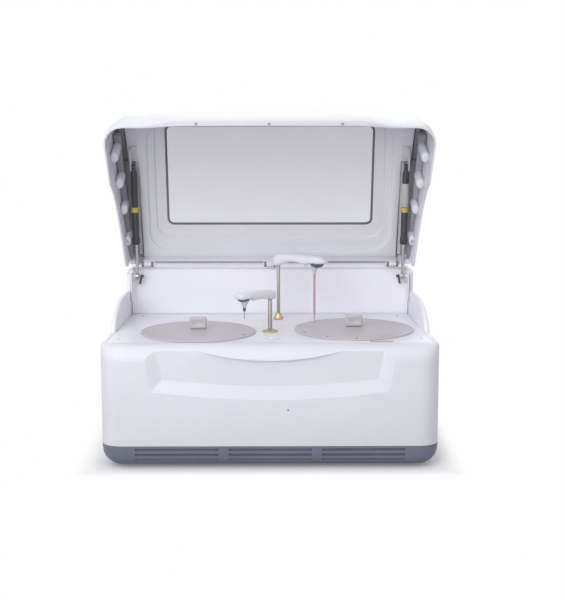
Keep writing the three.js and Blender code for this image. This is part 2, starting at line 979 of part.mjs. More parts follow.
function hingeLeaf(x) {
  const back = along(lid.rear + lid.wall) - fit.gap;
  const plateY = [back - hinge.plate, back];
  const cheek = (hinge.width - hinge.middle) / 2 - fit.gap;
  const halves = [-1, 1].map((side) => {
    const outer = x + side * hinge.width / 2;
    const span = [outer, outer - side * cheek].sort((a, b) => a - b);
    return join(
      crossPin(hinge.knuckle, span),
      block(span, [plateY[0], 0], [0, hinge.knuckle]),
    );
  });
  const clear = hinge.knuckle + fit.gap;
  const plate = block(
    [x - hinge.width / 2, x + hinge.width / 2],
    plateY,
    [clear, hinge.leafHeight],
  );
  const ears = [-1, 1].map((side) => {
    const outer = x + side * hinge.width / 2;
    return block([outer, outer - side * cheek].sort((a, b) => a - b), plateY, [0, hinge.leafHeight]);
  });
  return cut(
    join(plate, ...ears, ...halves),
    crossPin(hinge.pin + fit.gap, [x - hinge.width, x + hinge.width], [0, 0], 16),
  );
}

['left', 'middle', 'right'].forEach((name, i) => {
  add(`hinge_base_${name}`, hingeBase(hinge.xs[i]), castAlloy);
  add(`hinge_leaf_${name}`, hingeLeaf(hinge.xs[i]), castAlloy, lidGroup);
});

// Lid shell

const lidPlan = {
  front: along(lid.front),
  back: along(lid.rear),
  frontHalf: lid.frontWidth / 2,
  backHalf: lid.rearWidth / 2,
  frontRadius: lid.cornerRadius,
  backRadius: lid.rearRadius,
  middle: brow,
};
const lidRim = deck.top + lid.rimGap - hinge.z;

function lidLoft(inset, bottom) {
  const radius = lid.topRadius - inset;
  const top = lid.top - inset;
  const leanTop = top - radius;
  const crown = shares(6).map((share) => top - radius * (1 - Math.sin(share * Math.PI / 2)));
  const levels = [bottom, -lid.leanFoot, ...crown];
  return loft(levels.map((z) => {
    const share = THREE.MathUtils.clamp((z + lid.leanFoot) / (leanTop + lid.leanFoot), 0, 1);
    const round = drawnIn(radius, top - z);
    return planRing(lidPlan, z, {
      front: inset + share * lid.lean + round,
      side: inset + share * lid.sideLean + round,
      back: inset + round,
      corner: inset + round / 2,
    });
  }));
}

// What is cut away under the lid's side edges, as [y, z] pairs: it follows the wings with a gap.
function underLid() {
  const lift = lid.edgeGap;
  const wingEdge = wingCurve().map(([y, z]) => [y - hingeY, z - hinge.z + lift]);
  const heel = along(lid.heelLength);
  const flat = wing.flatHeight - hinge.z + lift;
  const round = shares(4).map((share) => {
    const angle = share * Math.PI / 2;
    return [
      heel - lid.heelRadius * (1 - Math.sin(angle)),
      flat + lid.heelRadius * (1 - Math.cos(angle)),
    ];
  });
  const past = along(lid.rear) + fit.overrun;
  return [
    [wingEdge[0][0], lidRim - fit.overrun],
    ...wingEdge,
    ...round,
    [heel, 0],
    [past, 0],
    [past, lidRim - fit.overrun],
  ];
}

function paneRing(grow) {
  return roundedPlan(
    [-windowPane.half - grow, windowPane.half + grow],
    [along(windowPane.front + grow), along(windowPane.rear - grow)],
    windowPane.radius + grow,
  );
}

const paneZ = liner.stepTwo + liner.thick + fit.gap;

function lidShell() {
  const outer = lidLoft(0, lidRim);
  const inner = lidLoft(lid.wall, lidRim + lid.wall);
  const mouthPlan = { ...lidPlan, middle: { ...brow, rise: brow.mouthRise } };
  const mouthInset = { front: lid.wall, side: lid.wall, back: lid.wall, corner: lid.wall };
  const mouthZ = [lidRim - fit.overrun, lidRim + 2 * lid.wall];
  const mouth = loft(mouthZ.map((z) => planRing(mouthPlan, z, mouthInset)));
  const half = lid.frontWidth / 2 + fit.overrun;
  const shell = cut(outer, inner, mouth, acrossX(underLid(), [-half, half]));
  const returnZ = [paneZ + windowPane.thick + fit.gap, lid.top - lid.wall / 2];
  const returnWall = raised(paneRing(windowPane.returnWall), returnZ, [paneRing(0)]);
  const aperture = raised(paneRing(0), [returnZ[0] - fit.overrun, lid.top + fit.overrun]);
  const hingeNotches = hinge.xs.map((x) => block(
    [x - hinge.width / 2 - fit.slack, x + hinge.width / 2 + fit.slack],
    [along(lid.wall + hinge.knuckle), along(lid.rear) + fit.overrun],
    [-fit.overrun, hinge.knuckle + hinge.pin + fit.slack],
  ));
  return cut(join(shell, returnWall), aperture, ...hingeNotches);
}

add('lid_shell', lidShell(), whitePlastic, lidGroup);

// Lid liner: a border with two soft steps down to the window

function linerBorder() {
  const right = [
    [liner.rearHalf, along(liner.rearLength)],
    [liner.strutHalf, along(liner.notchLength)],
    [liner.notchHalf, along(liner.notchLength)],
    [liner.frontHalf, along(liner.frontLength)],
  ];
  return [...right.map(([x, y]) => [-x, y]), ...[...right].reverse()];
}

function stepRing(half, rear, radius, grow) {
  const front = liner.frontLength - liner.stepInset;
  const y = [along(front + grow / 2), along(rear - grow)];
  return roundedPlan([-half - grow, half + grow], y, radius + grow);
}

function lidLiner() {
  const { thick, border, stepOne, stepTwo } = liner;
  const one = (grow) => stepRing(liner.stepOneHalf, liner.stepOneRear, liner.stepOneRadius, grow);
  const two = (grow) => stepRing(liner.stepTwoHalf, liner.stepTwoRear, liner.stepTwoRadius, grow);
  return join(
    raised(linerBorder(), [border, border + thick], [one(0)]),
    raised(one(thick), [border, stepOne + thick], [one(0)]),
    raised(one(thick), [stepOne, stepOne + thick], [two(0)]),
    raised(two(thick), [stepOne, stepTwo + thick], [two(0)]),
    raised(two(thick), [stepTwo, stepTwo + thick], [paneRing(0)]),
  );
}

add('lid_liner', lidLiner(), greyPlastic, lidGroup);

add('lid_gasket', raised(
  paneRing(-fit.gap),
  [liner.stepTwo - liner.thick / 2, paneZ - fit.gap],
  [paneRing(-windowPane.gasket)],
), gasketRubber, lidGroup);

add('lid_window', raised(paneRing(windowPane.lap), [paneZ, paneZ + windowPane.thick]), smokedPane, lidGroup);

// Gas struts: the cylinder turns on a stud of the lid, the rod slides in it down to a bracket

const strutHead = new THREE.Vector3(0, along(strut.headLength), strut.headHeight);
const strutFoot = new THREE.Vector3(0, strutFootY - hingeY, strut.footZ - hinge.z)
  .applyAxisAngle(new THREE.Vector3(1, 0, 0), degrees(lid.open));
const strutLine = strutFoot.clone().sub(strutHead);
const strutLength = strutLine.length();
const strutTilt = Math.atan2(-strutLine.y, strutLine.z);

function strutEye(z) {
  return crossPin(strut.eyeRadius, [-strut.eyeThick / 2, strut.eyeThick / 2], [0, z]);
}

function strutCylinder() {
  const boreFrom = strut.body - strut.boreDepth;
  const bore = strut.rodRadius + fit.gap;
  const from = strut.eyeRadius / 2;
  const tube = turned([
    [0, from],
    [strut.radius / 2, from],
    [strut.radius, strut.eyeRadius * 2],
    [strut.radius, strut.body - strut.collar],
    [strut.collarRadius, strut.body - strut.collar],
    [strut.collarRadius, strut.body],
    [bore, strut.body],
    [bore, boreFrom],
    [0, boreFrom],
  ], 20);
  const pinHole = crossPin(strut.pinRadius + fit.gap, [-strut.eyeThick, strut.eyeThick], [0, 0], 16);
  const slim = [-1, 1].map((side) => block(
    [strut.eyeThick / 2, strut.eyeThick * 2].map((x) => side * x).sort((a, b) => a - b),
    [-strut.radius * 2, strut.radius * 2],
    [-strut.eyeRadius, strut.eyeRadius * 1.25],
  ));
  return cut(join(tube, strutEye(0)), pinHole, ...slim);
}

function strutRodShape() {
  const top = strut.body - strut.inserted;
  const stem = drum(strut.rodRadius, [top, strutLength - strut.eyeRadius / 2], [0, 0], 20);
  return join(stem, strutEye(strutLength));
}

function strutStud(side) {
  const face = liner.border - fit.gap;
  const inner = strut.eyeThick / 2 + fit.slack;
  const plateX = [inner, inner + strut.plate].map((x) => side * x).sort((a, b) => a - b);
  const footX = [-strut.radius, inner + strut.plate].map((x) => side * x).sort((a, b) => a - b);
  const end = along(strut.headLength + strut.radius * 2 + strut.studLength);
  const footEnd = along(strut.headLength + strut.radius * 2);
  const foot = block(footX, [end, footEnd], [face - strut.plate, face]);
  const webY = [end, along(strut.headLength - strut.radius)];
  const web = block(plateX, webY, [strut.headHeight - strut.radius, face]);
  const pinX = [-strut.eyeThick / 2, inner + strut.plate].map((x) => side * x).sort((a, b) => a - b);
  const pin = crossPin(strut.pinRadius, pinX, [strutHead.y, strutHead.z], 16);
  return join(foot, web, pin);
}

function strutBracket(side) {
  const y = strutFootY;
  const inner = strut.x + strut.eyeThick / 2 + fit.slack;
  const wall = halfWidth(y + strut.bracketLength / 2) - wing.thick - fit.gap;
  const yRange = [y - strut.bracketLength / 2, postY - fit.gap];
  const foot = wing.flatHeight - strut.bracketHeight;
  const plate = block(
    [wall - strut.plate, wall].map((x) => side * x).sort((a, b) => a - b),
    yRange,
    [foot, strut.footZ + strut.eyeRadius],
  );
  const pin = crossPin(
    strut.pinRadius + strut.plate / 2,
    [inner, wall - strut.plate / 2].map((x) => side * x).sort((a, b) => a - b),
    [y, strut.footZ],
  );
  return join(plate, pin);
}

for (const [name, side] of [['left', -1], ['right', 1]]) {
  add(`strut_bracket_${name}`, strutBracket(side), strutBlack);
  const studGroup = new THREE.Group();
  studGroup.position.x = side * strut.x;
  lidGroup.add(studGroup);
  add(`strut_stud_${name}`, strutStud(side), strutBlack, studGroup);
  const strutGroup = new THREE.Group();
  strutGroup.position.set(side * strut.x, strutHead.y, strutHead.z);
  strutGroup.rotation.x = strutTilt;
  lidGroup.add(strutGroup);
  add(`strut_cylinder_${name}`, strutCylinder(), strutBlack, strutGroup);
  add(`strut_rod_${name}`, strutRodShape(), strutRod, strutGroup);
}

// The two discs: a tub under the deck, its carousel and motor, and the cover with its knob

const tubTop = deckFoot - fit.gap;
const tubFloor = tubTop - tub.depth;

function tubShape({ radius }) {
  const inside = radius - disc.lip + fit.slack;
  const outside = inside + tub.wall;
  return turned([
    [tub.spindleHole, tubFloor],
    [outside, tubFloor],
    [outside, tubTop - tub.wall],
    [outside + tub.flange, tubTop - tub.wall],
    [outside + tub.flange, tubTop],
    [inside, tubTop],
    [inside, tubFloor + tub.wall],
    [tub.spindleHole, tubFloor + tub.wall],
  ], disc.sides);
}

function carouselShape({ radius, ring }) {
  const { wall, floorGap, topDrop, hubRadius, hubHeight, shaft, shaftLength } = carousel;
  const outside = radius - disc.lip - fit.slack;
  const floor = tubFloor + tub.wall + floorGap;
  const top = deck.top - topDrop;
  return turned([
    [0, floor - shaftLength],
    [shaft, floor - shaftLength],
    [shaft, floor],
    [outside, floor],
    [outside, top],
    [outside - wall, top],
    [outside - wall, floor + wall],
    [ring + wall, floor + wall],
    [ring + wall, top],
    [ring, top],
    [ring, floor + wall],
    [hubRadius, floor + wall],
    [hubRadius, floor + hubHeight],
    [0, floor + hubHeight],
  ], disc.sides);
}

function spindleMotorShape() {
  const half = spindleMotor.width / 2;
  const top = tubFloor - fit.gap;
  const side = half - spindleMotor.chamfer;
  const outline = [
    [side, -half],
    [half, -side],
    [half, side],
    [side, half],
    [-side, half],
    [-half, side],
    [-half, -side],
    [-side, -half],
  ];
  const bore = carousel.shaft + fit.gap;
  const body = raised(outline, [top - spindleMotor.height, top]);
  return cut(body, drum(bore, [top - spindleMotor.height - fit.overrun, top + fit.overrun], [0, 0], 24));
}

const coverTop = deck.top + fit.gap + disc.rimHeight + disc.rise;

function coverShape(each, portPlaces) {
  const { radius } = each;
  const rest = deck.top + fit.gap;
  const dome = (r, drop) => [r, coverTop - drop - disc.rise * (r / radius) ** 2];
  const lipRadius = radius - 2 * disc.lip;
  const inside = lipRadius - disc.lip;
  const outer = shares(4).map((share) => dome(share * (radius - disc.lip / 2), 0));
  const under = shares(2).map((share) => dome((1 - share) * inside, disc.skin));
  const skin = turned([
    ...outer,
    [radius, rest + disc.rimHeight - disc.lip / 2],
    [radius, rest],
    [lipRadius, rest],
    ...under,
  ], disc.sides);
  const [x, y] = discPlace(each);
  return cut(skin, ...portPlaces.map(([px, py]) => drum(
    port.radius,
    [rest - fit.overrun, coverTop + fit.overrun],
    [px - x, py - y],
    20,
  )));
}

function knobShape() {
  const { width, thick, height, round, neck } = knob;
  const foot = coverTop + fit.gap;
  const top = foot + height;
  const plan = roundedPlan([-width / 2, width / 2], [-thick / 2, thick / 2], round);
  const body = raised(plan, [foot + neck, top - round]);
  const crown = loft(shares(3).map((share) => {
    const angle = share * Math.PI / 2 * 0.8;
    const inset = round * (1 - Math.cos(angle));
    const z = top - round + round * Math.sin(angle);
    return roundedPlan(
      [-width / 2 + inset, width / 2 - inset],
      [-thick / 2 + inset, thick / 2 - inset],
      round - inset,
    ).map(([x, y]) => [x, y, z]);
  }));
  const [stemHalf, stemThick] = [width / 2 - neck, (thick - neck) / 2];
  const stem = raised(
    roundedPlan([-stemHalf, stemHalf], [-stemThick, stemThick], round - neck),
    [foot, foot + 2 * neck],
  );
  return join(body, crown, stem);
}

const ports = {
  sample: [needlePlace(shortArm, 0)],
  reaction: [needlePlace(shortArm, shortArm.swing), needlePlace(tallArm, 0)],
};

for (const [name, each] of [['sample', sampleDisc], ['reaction', reactionDisc]]) {
  const group = new THREE.Group();
  group.position.set(each.x, atDepth(each.depth), 0);
  analyzer.add(group);
  add(`${name}_tub`, tubShape(each), greyPlastic, group);
  add(`${name}_carousel`, carouselShape(each), greyPlastic, group);
  add(`${name}_motor`, spindleMotorShape(), castAlloy, group);
  add(`${name}_cover`, coverShape(each, ports[name]), smokedPlastic, group);
  add(`${name}_knob`, knobShape(), smokedPlastic, group);
}

// The two pipetting arms

const shortStations = [
  { along: -0.14, wide: 0.35, low: 0.15, high: 0.68 },
  { along: -0.1, wide: 0.6, low: 0.02, high: 0.76 },
  { along: 0, wide: 0.71, low: 0, high: 0.84 },
  { along: 0.36, wide: 0.71, low: 0.19, high: 0.93 },
  { along: 0.71, wide: 0.82, low: 0.15, high: 0.99 },
  { along: 0.84, wide: 0.92, low: 0.36, high: 0.98 },
  { along: 1.17, wide: 0.88, low: 0.36, high: 0.93 },
  { along: 1.3, wide: 0.5, low: 0.52, high: 0.82 },
];

const tallStations = [
  { along: -0.14, wide: 0.3, low: 0.12, high: 0.63 },
  { along: -0.09, wide: 0.6, low: 0.03, high: 0.78 },
  { along: 0, wide: 0.71, low: 0, high: 0.93 },
  { along: 0.14, wide: 0.65, low: 0.19, high: 0.98 },
  { along: 0.34, wide: 0.59, low: 0.4, high: 0.98 },
  { along: 0.58, wide: 0.65, low: 0.38, high: 0.98 },
  { along: 0.78, wide: 0.82, low: 0.2, high: 0.95 },
  { along: 0.88, wide: 0.95, low: 0.36, high: 0.97 },
  { along: 1.12, wide: 0.95, low: 0.36, high: 0.93 },
  { along: 1.24, wide: 0.8, low: 0.42, high: 0.82 },
  { along: 1.33, wide: 0.42, low: 0.48, high: 0.67 },
];

function armHousing(arm, stations) {
  const squareness = 0.7;
  return loft(stations.map((station) => {
    const low = arm.housingFoot + station.low * arm.housingHeight;
    const high = arm.housingFoot + station.high * arm.housingHeight;
    const half = station.wide * arm.housingWidth / 2;
    return Array.from({ length: 16 }, (_, i) => {
      const angle = (i + 0.5) * Math.PI / 8;
      const round = (value) => Math.sign(value) * Math.abs(value) ** squareness;
      return [
        station.along * arm.reach,
        half * round(Math.cos(angle)),
        (low + high) / 2 + (high - low) / 2 * round(Math.sin(angle)),
      ];
    });
  }));
}

// How high the housing's underside stands over the needle.
function headFoot(arm, stations) {
  const next = stations.findIndex((station) => station.along >= 1);
  const low = Math.min(stations[next - 1].low, stations[next].low);
  return arm.housingFoot + low * arm.housingHeight;
}

function needleShape(arm, stations) {
  const top = headFoot(arm, stations) - fit.gap;
  return turned([
    [0, top],
    [arm.coneRadius, top],
    [arm.sheathRadius, arm.housingFoot - arm.coneDrop],
    [arm.sheathRadius, arm.tip + arm.bare],
    [arm.needleRadius, arm.tip + arm.bare],
    [arm.needleRadius, arm.tip],
    [0, arm.tip],
  ], 20).translate(arm.reach, 0, 0);
}

function sleeveShape(arm) {
  const bore = arm.postRadius + fit.gap;
  const foot = deck.top + fit.gap;
  return turned([
    [bore, foot - sleeve.below],
    [sleeveRadius(arm), foot - sleeve.below],
    [sleeveRadius(arm), foot],
    [arm.flange, foot],
    [arm.flange, foot + arm.flangeHeight / 3],
    [bore + sleeve.wall / 2, foot + arm.flangeHeight],
    [bore, foot + arm.flangeHeight],
  ], 20);
}

function driveShape(arm) {
  const { half, slot } = armDrive;
  const top = deck.top + fit.gap - sleeve.below - fit.gap;
  const tower = block([-half, half], [-half, half], [benchTopZ, top]);
  const bore = drum(arm.postRadius + fit.gap, [arm.driveBore, top + fit.overrun], [0, 0], 24);
  const window = block([-slot / 2, slot / 2], [0, half + fit.overrun], [arm.driveBore, top - half]);
  return cut(tower, bore, window);
}

for (const [name, arm, stations] of [['short', shortArm, shortStations], ['tall', tallArm, tallStations]]) {
  const group = new THREE.Group();
  group.position.set(arm.x, atDepth(arm.depth), 0);
  analyzer.add(group);
  add(`${name}_arm_drive`, driveShape(arm), castAlloy, group);
  add(`${name}_arm_sleeve`, sleeveShape(arm), brassFinish, group);
  const post = drum(arm.postRadius, [arm.postFoot, arm.housingFoot - fit.gap], [0, 0], 24);
  add(`${name}_arm_post`, post, brightSteel, group);
  const turnedGroup = new THREE.Group();
  turnedGroup.rotation.z = degrees(arm.rest);
  group.add(turnedGroup);
  add(`${name}_arm_housing`, armHousing(arm, stations), whitePlastic, turnedGroup);
  add(`${name}_arm_needle`, needleShape(arm, stations), needleFinish, turnedGroup);
}

// Modules on the chassis plate

function slab({ x, depth, width, length }, [z0, z1]) {
  const y = atDepth(depth);
  return block([x - width / 2, x + width / 2], [y - length / 2, y + length / 2], [z0, z1]);
}

const onChassis = (module) => slab(module, [benchTopZ, benchTopZ + module.height]);

function powerSupplyShape() {
  const { x, depth, width, length, height, lip, slots, slot } = powerSupply;
  const top = benchTopZ + height;
  const cuts = Array.from({ length: slots }, (_, i) => {
    const at = x + ((i + 0.5) / slots - 0.5) * (width - 2 * lip);
    return block(
      [at - slot / 2, at + slot / 2],
      [atDepth(depth) - length / 2 + lip, atDepth(depth) + length / 2 - lip],
      [top - lip, top + fit.overrun],
    );
  });
  return cut(onChassis(powerSupply), ...cuts);
}

add('power_supply', powerSupplyShape(), sheetSteel);

function controlBoard() {
  const { x, depth, width, length, thick, stand, standRadius, chip, chipHeight } = board;
  const y = atDepth(depth);
  const foot = benchTopZ + stand;
  const plate = slab(board, [foot, foot + thick]);
  const inset = 2 * standRadius;
  const posts = [-1, 1].flatMap((sx) => [-1, 1].map((sy) => drum(
    standRadius,
    [benchTopZ, foot + thick / 2],
    [x + sx * (width / 2 - inset), y + sy * (length / 2 - inset)],
    12,
  )));
  const chips = [-1, 0, 1].map((step) => block(
    [x + step * 2 * chip - chip / 2, x + step * 2 * chip + chip / 2],
    [y - chip / 2, y + chip / 2],
    [foot + thick / 2, foot + thick + chipHeight],
  ));
  return join(plate, ...posts, ...chips);
}

add('control_board', controlBoard(), boardGreen);

function photometerShape() {
  const { x, depth, length, height, lamp, lampLength } = photometer;
  const front = atDepth(depth) + length / 2;
  const tubeZ = benchTopZ + height - lamp;
  const tube = new THREE.CylinderGeometry(lamp / 2, lamp / 2, lampLength, 20);
  return join(onChassis(photometer), tube.translate(x, front + lampLength / 2 - lamp / 2, tubeZ));
}

add('photometer', photometerShape(), castAlloy);

const syringeTop = benchTopZ + syringe.height;

function syringeBody() {
  const { x, depth, bore, stroke } = syringe;
  const floor = syringeTop - stroke * 2;
  return cut(onChassis(syringe), drum(bore, [floor, syringeTop + fit.overrun], [x, atDepth(depth)], 24));
}

add('syringe_pump', syringeBody(), castAlloy);

function syringePlunger() {
  const { bore, stroke, rod, cap, capHeight } = syringe;
  const from = syringeTop - stroke * 2 + fit.gap;
  const head = bore - fit.gap;
  const capFootZ = syringeTop + fit.gap;
  return turned([
    [0, from],
    [head, from],
    [head, from + stroke],
    [rod, from + stroke],
    [rod, capFootZ],
    [cap, capFootZ],
    [cap, capFootZ + capHeight],
    [0, capFootZ + capHeight],
  ], 24).translate(syringe.x, atDepth(syringe.depth), 0);
}

add('syringe_plunger', syringePlunger(), strutRod);

export default analyzer;
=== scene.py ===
import json
import math

import bmesh
import bpy
from mathutils import Matrix, Vector

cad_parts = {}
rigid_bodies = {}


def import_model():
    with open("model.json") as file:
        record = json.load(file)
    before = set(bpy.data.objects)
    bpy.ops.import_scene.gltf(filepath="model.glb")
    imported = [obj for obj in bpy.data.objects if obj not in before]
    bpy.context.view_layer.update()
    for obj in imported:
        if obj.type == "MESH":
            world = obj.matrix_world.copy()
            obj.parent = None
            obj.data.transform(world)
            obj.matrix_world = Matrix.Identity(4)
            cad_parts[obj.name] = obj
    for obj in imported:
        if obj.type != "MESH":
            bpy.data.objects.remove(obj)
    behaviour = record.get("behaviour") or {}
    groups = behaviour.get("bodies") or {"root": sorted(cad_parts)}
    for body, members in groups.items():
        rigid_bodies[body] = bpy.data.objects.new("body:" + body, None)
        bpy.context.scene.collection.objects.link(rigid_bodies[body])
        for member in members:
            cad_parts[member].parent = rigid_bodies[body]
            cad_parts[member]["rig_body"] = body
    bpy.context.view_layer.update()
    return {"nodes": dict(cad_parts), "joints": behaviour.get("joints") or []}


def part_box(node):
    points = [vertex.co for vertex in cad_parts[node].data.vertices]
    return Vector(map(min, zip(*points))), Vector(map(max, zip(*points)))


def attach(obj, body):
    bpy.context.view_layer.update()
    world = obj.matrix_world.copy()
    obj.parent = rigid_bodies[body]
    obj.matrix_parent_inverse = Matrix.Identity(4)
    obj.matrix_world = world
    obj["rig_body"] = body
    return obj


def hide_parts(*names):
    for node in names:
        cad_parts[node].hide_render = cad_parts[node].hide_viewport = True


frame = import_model()


# Camera, bench and light
# The analyzer stands on a plain pale bench in soft studio light. It is seen from the front through a long
# lens, a little above the line of the lid's hinges.

camera_distance = 3.280
camera_height = 0.865
camera_tilt = math.radians(9.1)
camera_pan = math.radians(0.5)
camera_data = bpy.data.cameras.new("studio_camera")
camera_data.lens = 82.9
camera_data.sensor_width = 36
camera = bpy.data.objects.new("studio_camera", camera_data)
camera.location = (0, -camera_distance, camera_height)
camera.rotation_euler = (math.radians(90) - camera_tilt, 0, -camera_pan)
bpy.context.scene.collection.objects.link(camera)
bpy.context.scene.camera = camera
bpy.context.scene.view_settings.view_transform = "Standard"


def maths(tree, operation, first, second=0):
    """A maths node of two links or numbers, as its output."""
    node = tree.nodes.new("ShaderNodeMath")
    node.operation = operation
    for socket, value in zip(node.inputs, (first, second)):
        if isinstance(value, (int, float)):
            socket.default_value = value
        else:
            tree.links.new(value, socket)
    return node.outputs[0]


def seen_not_lit(tree):
    """1 where a surface is seen, directly, in gloss or through glass, and 0 where it lights others."""
    rays = tree.nodes.new("ShaderNodeLightPath").outputs
    seen = rays["Is Camera Ray"]
    for way in ("Is Glossy Ray", "Is Transmission Ray"):
        seen = maths(tree, "MAXIMUM", seen, rays[way])
    return seen


studio = bpy.data.worlds.new("studio")
studio.use_nodes = True
bpy.context.scene.world = studio
studio_tree = studio.node_tree
studio_tree.nodes.clear()
soft_light = studio_tree.nodes.new("ShaderNodeBackground")
soft_light.inputs["Color"].default_value = (1, 1, 1, 1)
soft_light.inputs["Strength"].default_value = 0.56
white_paper = studio_tree.nodes.new("ShaderNodeBackground")
white_paper.inputs["Color"].default_value = (1, 1, 1, 1)
white_paper.inputs["Strength"].default_value = 1
paper_or_light = studio_tree.nodes.new("ShaderNodeMixShader")
studio_out = studio_tree.nodes.new("ShaderNodeOutputWorld")
studio_tree.links.new(seen_not_lit(studio_tree), paper_or_light.inputs["Fac"])
studio_tree.links.new(soft_light.outputs[0], paper_or_light.inputs[1])
studio_tree.links.new(white_paper.outputs[0], paper_or_light.inputs[2])
studio_tree.links.new(paper_or_light.outputs[0], studio_out.inputs["Surface"])

# Round the analyzer the bench is a matt white that takes its shadow. Further out it fades into the paper.
# Where it only throws light back it is a mid grey, so that the covers are lit from above and not from below.
bench_width = 12
bench_fade_length = 0.065
bpy.ops.mesh.primitive_plane_add(size=bench_width, location=(0, 0, 0))
bench = bpy.context.active_object
bench.name = "bench"
bench_finish = bpy.data.materials.new("pale_bench")
bench_finish.use_nodes = True
bench_tree = bench_finish.node_tree
bench_paint = bench_tree.nodes["Principled BSDF"]
bench_is_seen = seen_not_lit(bench_tree)
bench_shade = bench_tree.nodes.new("ShaderNodeMix")
bench_shade.data_type = "RGBA"
bench_shade.inputs["A"].default_value = (0.55, 0.55, 0.55, 1)
bench_shade.inputs["B"].default_value = (0.94, 0.94, 0.95, 1)
bench_tree.links.new(bench_is_seen, bench_shade.inputs["Factor"])
bench_tree.links.new(bench_shade.outputs["Result"], bench_paint.inputs["Base Color"])
bench_paint.inputs["Roughness"].default_value = 0.8
bench_paint.inputs["Specular IOR Level"].default_value = 0.2
bench_paper = bench_tree.nodes.new("ShaderNodeEmission")
bench_paper.inputs["Strength"].default_value = 1

# The fade goes by how far a spot on the bench lies outside the tray's rectangle
bench_place = bench_tree.nodes.new("ShaderNodeTexCoord")
bench_spot = bench_tree.nodes.new("ShaderNodeSeparateXYZ")
bench_tree.links.new(bench_place.outputs["Object"], bench_spot.inputs[0])
tray_corner = Vector(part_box("base_tray")[1])
past_tray = [
    maths(bench_tree, "SUBTRACT", maths(bench_tree, "ABSOLUTE", bench_spot.outputs[axis]), half)
    for axis, half in (("X", tray_corner.x), ("Y", tray_corner.y))
]
bench_fade = bench_tree.nodes.new("ShaderNodeMapRange")
bench_fade.interpolation_type = "SMOOTHSTEP"
bench_fade.inputs["From Min"].default_value = 0
bench_fade.inputs["From Max"].default_value = bench_fade_length
bench_fade.inputs["To Min"].default_value = 0.15
bench_tree.links.new(maths(bench_tree, "MAXIMUM", *past_tray), bench_fade.inputs["Value"])
bench_share = maths(bench_tree, "MULTIPLY", bench_fade.outputs["Result"], bench_is_seen)
bench_mix = bench_tree.nodes.new("ShaderNodeMixShader")
bench_tree.links.new(bench_share, bench_mix.inputs["Fac"])
bench_tree.links.new(bench_paint.outputs[0], bench_mix.inputs[1])
bench_tree.links.new(bench_paper.outputs[0], bench_mix.inputs[2])
bench_tree.links.new(bench_mix.outputs[0], bench_tree.nodes["Material Output"].inputs["Surface"])
bench.data.materials.append(bench_finish)

# A wide soft lamp in front gives most of the light. Smaller ones overhead and behind light the upper sides.
lit_middle = Vector((0, 0, 0.35))
for lamp_name, place, size, power in (
    ("lamp_over", (-0.6, -0.9, 2.5), 2.2, 11),
    ("lamp_front", (-2.0, -4.4, 2.4), 3.4, 113),
    ("lamp_rear", (0.3, 2.2, 1.9), 1.8, 12),
):
    lamp_data = bpy.data.lights.new(lamp_name, "AREA")
    lamp_data.size = size
    lamp_data.energy = power
    lamp = bpy.data.objects.new(lamp_name, lamp_data)
    lamp.location = place
    lamp.rotation_euler = (lit_middle - Vector(place)).to_track_quat("-Z", "Y").to_euler()
    bpy.context.scene.collection.objects.link(lamp)


# Base tray
# The tray under the cabinet is moulded from blue-grey ABS with three groups of air slots in its front. The
# covers stand on its rim, and the chassis is screwed to the bosses inside it.


def new_socket(tree, name, way, kind, value=None):
    """Adds a named input or output to a node group."""
    socket = tree.interface.new_socket(name=name, in_out=way, socket_type=kind)
    if value is not None:
        socket.default_value = value


def noise_of(tree, place, scale, detail):
    """Noise at a place, from 0 to 1."""
    node = tree.nodes.new("ShaderNodeTexNoise")
    node.inputs["Scale"].default_value = scale
    node.inputs["Detail"].default_value = detail
    tree.links.new(place, node.inputs["Vector"])
    return node.outputs["Fac"]


def between(tree, value, low, high, to_low=0.0, to_high=1.0):
    """A value brought from one range to another and held there."""
    node = tree.nodes.new("ShaderNodeMapRange")
    node.inputs["From Min"].default_value = low
    node.inputs["From Max"].default_value = high
    node.inputs["To Min"].default_value = to_low
    node.inputs["To Max"].default_value = to_high
    tree.links.new(value, node.inputs["Value"])
    return node.outputs["Result"]


def spread(tree, noise, low, high):
    """Noise, which stays nearly all between 0.3 and 0.7, spread over a range."""
    return between(tree, noise, 0.3, 0.7, low, high)


def blend_of(tree, share, first, second):
    """A mix of two colours, each a link or a colour, by a share that is a link."""
    node = tree.nodes.new("ShaderNodeMix")
    node.data_type = "RGBA"
    tree.links.new(share, node.inputs["Factor"])
    for socket, value in ((node.inputs["A"], first), (node.inputs["B"], second)):
        if isinstance(value, tuple):
            socket.default_value = (*value, 1)
        else:
            tree.links.new(value, socket)
    return node.outputs["Result"]


